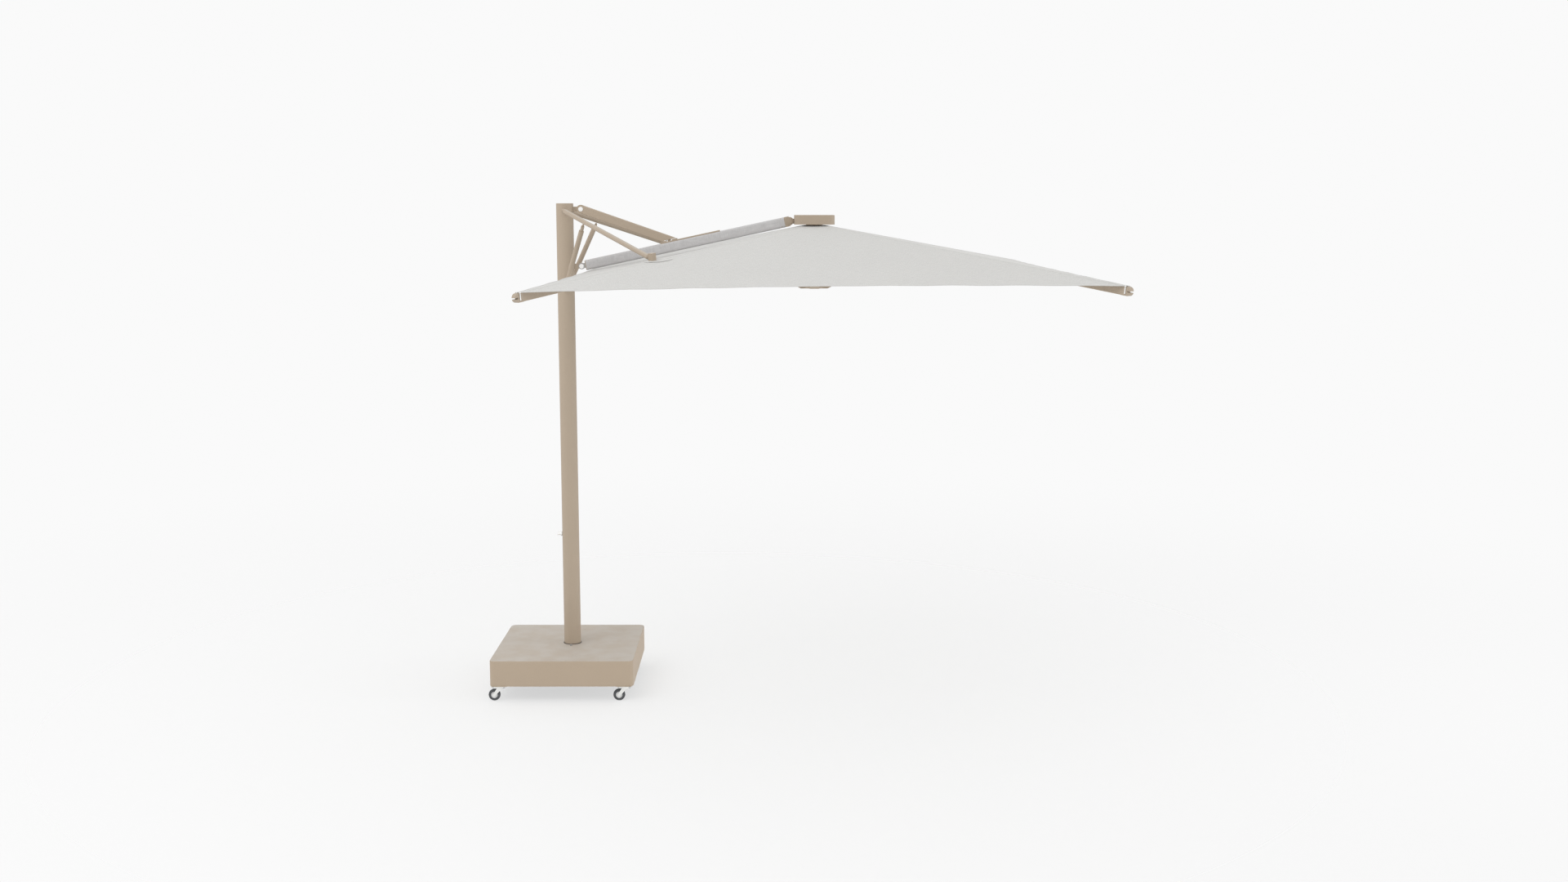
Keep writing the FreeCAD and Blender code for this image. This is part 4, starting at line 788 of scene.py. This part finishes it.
def sleeve_ring(turn):
    """A rounded oblong section: flat sides with soft corners."""
    c, s = math.cos(turn), math.sin(turn)
    return (math.copysign(abs(c) ** CORNER_POWER, c) * SLEEVE_WIDE,
            math.copysign(abs(s) ** CORNER_POWER, s) * SLEEVE_TALL)


def arm_sleeve():
    shape = bmesh.new()
    bmesh.ops.create_cone(shape, cap_ends=False, segments=72, radius1=1, radius2=1, depth=2)
    lengthwise = [e for e in shape.edges if abs(e.verts[0].co.z - e.verts[1].co.z) > 1]
    bmesh.ops.subdivide_edges(shape, edges=lengthwise, cuts=120, use_grid_fill=True)
    layer = shape.loops.layers.uv.new("cloth")
    spots = {}
    for vert in shape.verts:
        turn = math.atan2(vert.co.y, vert.co.x)
        share = (vert.co.z + 1) / 2
        along = SLEEVE_FROM + SLEEVE_LENGTH * share
        side, above = sleeve_ring(turn)
        end = min(share, 1 - share) * SLEEVE_LENGTH
        cuff = 1 - CUFF_DEPTH * math.exp(-((end - CUFF_FROM_END) / CUFF_WIDTH) ** 2)
        crease = (math.sin(along * 61 + 2.1 * turn) * math.sin(along * 23 + 1.3)
                  * (0.5 + 0.5 * math.sin(turn * 3 + along * 9)))
        drape = 1 + CREASE_DEPTH * crease * min(1.0, end / SMOOTH_END)
        spots[vert] = (turn * SLEEVE_MEAN_RADIUS, along)
        vert.co = on_arm(along, side * cuff * drape, above * cuff * drape)
    girth = 2 * math.pi * SLEEVE_MEAN_RADIUS
    for face in shape.faces:
        turns = [spots[loop.vert][0] for loop in face.loops]
        wrap = max(turns) - min(turns) > 0.1
        for loop in face.loops:
            u, v = spots[loop.vert]
            loop[layer].uv = (u + girth if wrap and u < 0 else u, v)
    return shape


sleeve_shape = arm_sleeve()
open_faces = []
for face in sleeve_shape.faces:
    middle = face.calc_center_median() - ARM_ROOT
    along, above = middle.dot(ARM_DIR), middle.dot(ARM_UP)
    if TRACK_FROM < along < TRACK_TO and above > 0 and abs(middle.y) < TRACK_HALF:
        open_faces.append(face)
bmesh.ops.delete(sleeve_shape, geom=open_faces, context="FACES")
for vert in sleeve_shape.verts:
    offset = vert.co - ARM_ROOT
    beside_track = (TRACK_FROM - TRACK_EASE < offset.dot(ARM_DIR) < TRACK_TO + TRACK_EASE
                    and abs(vert.co.y) < TRACK_HALF)
    if vert.is_boundary and beside_track:
        vert.co.y = math.copysign(max(abs(vert.co.y), TRACK_HALF), vert.co.y)
sleeve_shape.normal_update()
bmesh.ops.recalc_face_normals(sleeve_shape, faces=sleeve_shape.faces)
sleeve = finish_piece("arm_sleeve_cloth", sleeve_shape, [sleeve_cloth], "arm",
                      closed=False)
print("sleeve area", round(sheet_area(sleeve), 4), "from", len(sleeve.data.polygons), "faces")
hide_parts("arm_sleeve")
thicken(sleeve, SLEEVE_THICKNESS, -1.0)

# %% [markdown]
# Each corner of the cloth is held down by a bright staple that straddles the rib's end. Its
# two legs are slim turned pins, one on each side of the rib, so each is a short section that
# is spun. From a few metres they are only a glint, but they explain how the canopy stays on.

# %% Corner staples
RIB_UNDER_CLOTH = 0.026
STAPLE_HALF = 0.0155
STAPLE_BACK = 0.008
HINGE_RADIUS = 0.110
LEG_SECTION = ((0.0, -0.014), (0.0032, -0.0125), (0.0036, -0.010), (0.0030, -0.008),
               (0.0030, 0.024), (0.0052, 0.0250), (0.0046, 0.0268), (0.0, 0.0272))

hinge_low, hinge_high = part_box("rib_pins")
HINGE_HEIGHT = (hinge_low[2] + hinge_high[2]) / 2


def corner_staple(rib):
    sx, sy = QUARTER[rib]
    bearing = Vector((sx * HALF_LENGTH, sy * HALF_WIDTH, 0)).normalized()
    hinge = Vector((HUB.x, 0, HINGE_HEIGHT)) + bearing * HINGE_RADIUS
    end = Vector((HUB.x + sx * HALF_LENGTH, sy * HALF_WIDTH,
                  EAVE_HEIGHT[sx] - RIB_UNDER_CLOTH))
    out = (end - hinge).normalized()
    side = Vector((0, 0, 1)).cross(out).normalized()
    up = out.cross(side)
    shape = bmesh.new()
    for hand in (-1, 1):
        foot = end - out * STAPLE_BACK + side * hand * STAPLE_HALF
        line = [shape.verts.new(foot + out * r + up * h) for r, h in LEG_SECTION]
        edges = [shape.edges.new(pair) for pair in zip(line, line[1:])]
        bmesh.ops.spin(shape, geom=line + edges, cent=foot, axis=up, angle=2 * math.pi,
                       steps=24, use_merge=True, use_duplicate=False)
    bmesh.ops.remove_doubles(shape, verts=shape.verts, dist=MERGE)
    return finish_piece("corner_staple_" + rib, shape, [pin_steel], "rib_" + rib)


staples = [corner_staple(rib) for rib in RIBS]
print("corner staples:", len(staples))

# %% [markdown]
# The floor is a plain pale sheet, and the light is mostly the even white of a studio with one
# large soft panel above and to the left and a weak narrow fill far off on the right. The floor
# fades into the background a few metres out, so no horizon line shows. Neither belongs to the
# object, so both are staging.

# %% Floor
BACKGROUND = 0.955
FLOOR_RADIUS = 16.0
FADE_FROM = 1.2
FADE_TO = 9.0
NEAR_CLEARNESS = 0.62

world = bpy.data.worlds.new("studio")
world.use_nodes = True
sky = world.node_tree.nodes["Background"]
sky.inputs["Color"].default_value = (1.0, 1.0, 1.0, 1.0)
sky.inputs["Strength"].default_value = BACKGROUND
bpy.context.scene.world = world
bpy.context.scene.view_settings.view_transform = "Standard"

floor_shape = bmesh.new()
bmesh.ops.create_circle(floor_shape, cap_ends=True, segments=96, radius=FLOOR_RADIUS)
floor_mesh = bpy.data.meshes.new("floor")
floor_shape.to_mesh(floor_mesh)
floor_shape.free()
floor = bpy.data.objects.new("floor", floor_mesh)
bpy.context.scene.collection.objects.link(floor)

floor_paint, tree, shader = new_material("floor_paint")
shader.inputs["Base Color"].default_value = (0.87, 0.87, 0.87, 1.0)
shader.inputs["Roughness"].default_value = 0.9
shader.inputs["Specular IOR Level"].default_value = 0.1
place = add_node(tree, "ShaderNodeTexCoord").outputs["Object"]
centred = add_node(tree, "ShaderNodeMapping", Vector=place,
                   Location=(-0.8, 0.0, 0.0)).outputs[0]
distance = add_node(tree, "ShaderNodeVectorMath", {"operation": "LENGTH"}, i0=centred)
gone = fade(tree, distance.outputs["Value"], FADE_FROM, FADE_TO, NEAR_CLEARNESS, 1.0)
clear = tree.nodes.new("ShaderNodeBsdfTransparent")
mixed = add_node(tree, "ShaderNodeMixShader", Fac=gone)
tree.links.new(shader.outputs[0], mixed.inputs[1])
tree.links.new(clear.outputs[0], mixed.inputs[2])
tree.links.new(mixed.outputs[0], tree.nodes["Material Output"].inputs["Surface"])
floor_mesh.materials.append(floor_paint)
print("background", BACKGROUND, "floor radius", FLOOR_RADIUS, "m")

# %% [markdown]
# Both lights are soft rectangles aimed at a point. The panel gives the top of the base and the
# canopy their shape, and the fill keeps the base's right side from going dull.

# %% Lights


def area_light(name, size, energy, location, target):
    data = bpy.data.lights.new(name, "AREA")
    data.shape = "RECTANGLE"
    data.size, data.size_y = size
    data.energy = energy
    lamp = bpy.data.objects.new(name, data)
    lamp.location = location
    aim = Vector(target) - lamp.location
    lamp.rotation_euler = aim.to_track_quat("-Z", "Y").to_euler()
    bpy.context.scene.collection.objects.link(lamp)
    return lamp


panel = area_light("soft_panel", (6.0, 5.0), 150.0, (-4.0, -5.0, 7.5), (1.2, 0.0, 1.4))
fill = area_light("side_fill", (3.0, 3.0), 22.0, (11.0, -1.5, 3.0), (0.0, 0.0, 0.4))
fill.data.spread = 1.1
print("panel", panel.data.energy, "W, fill", fill.data.energy, "W")
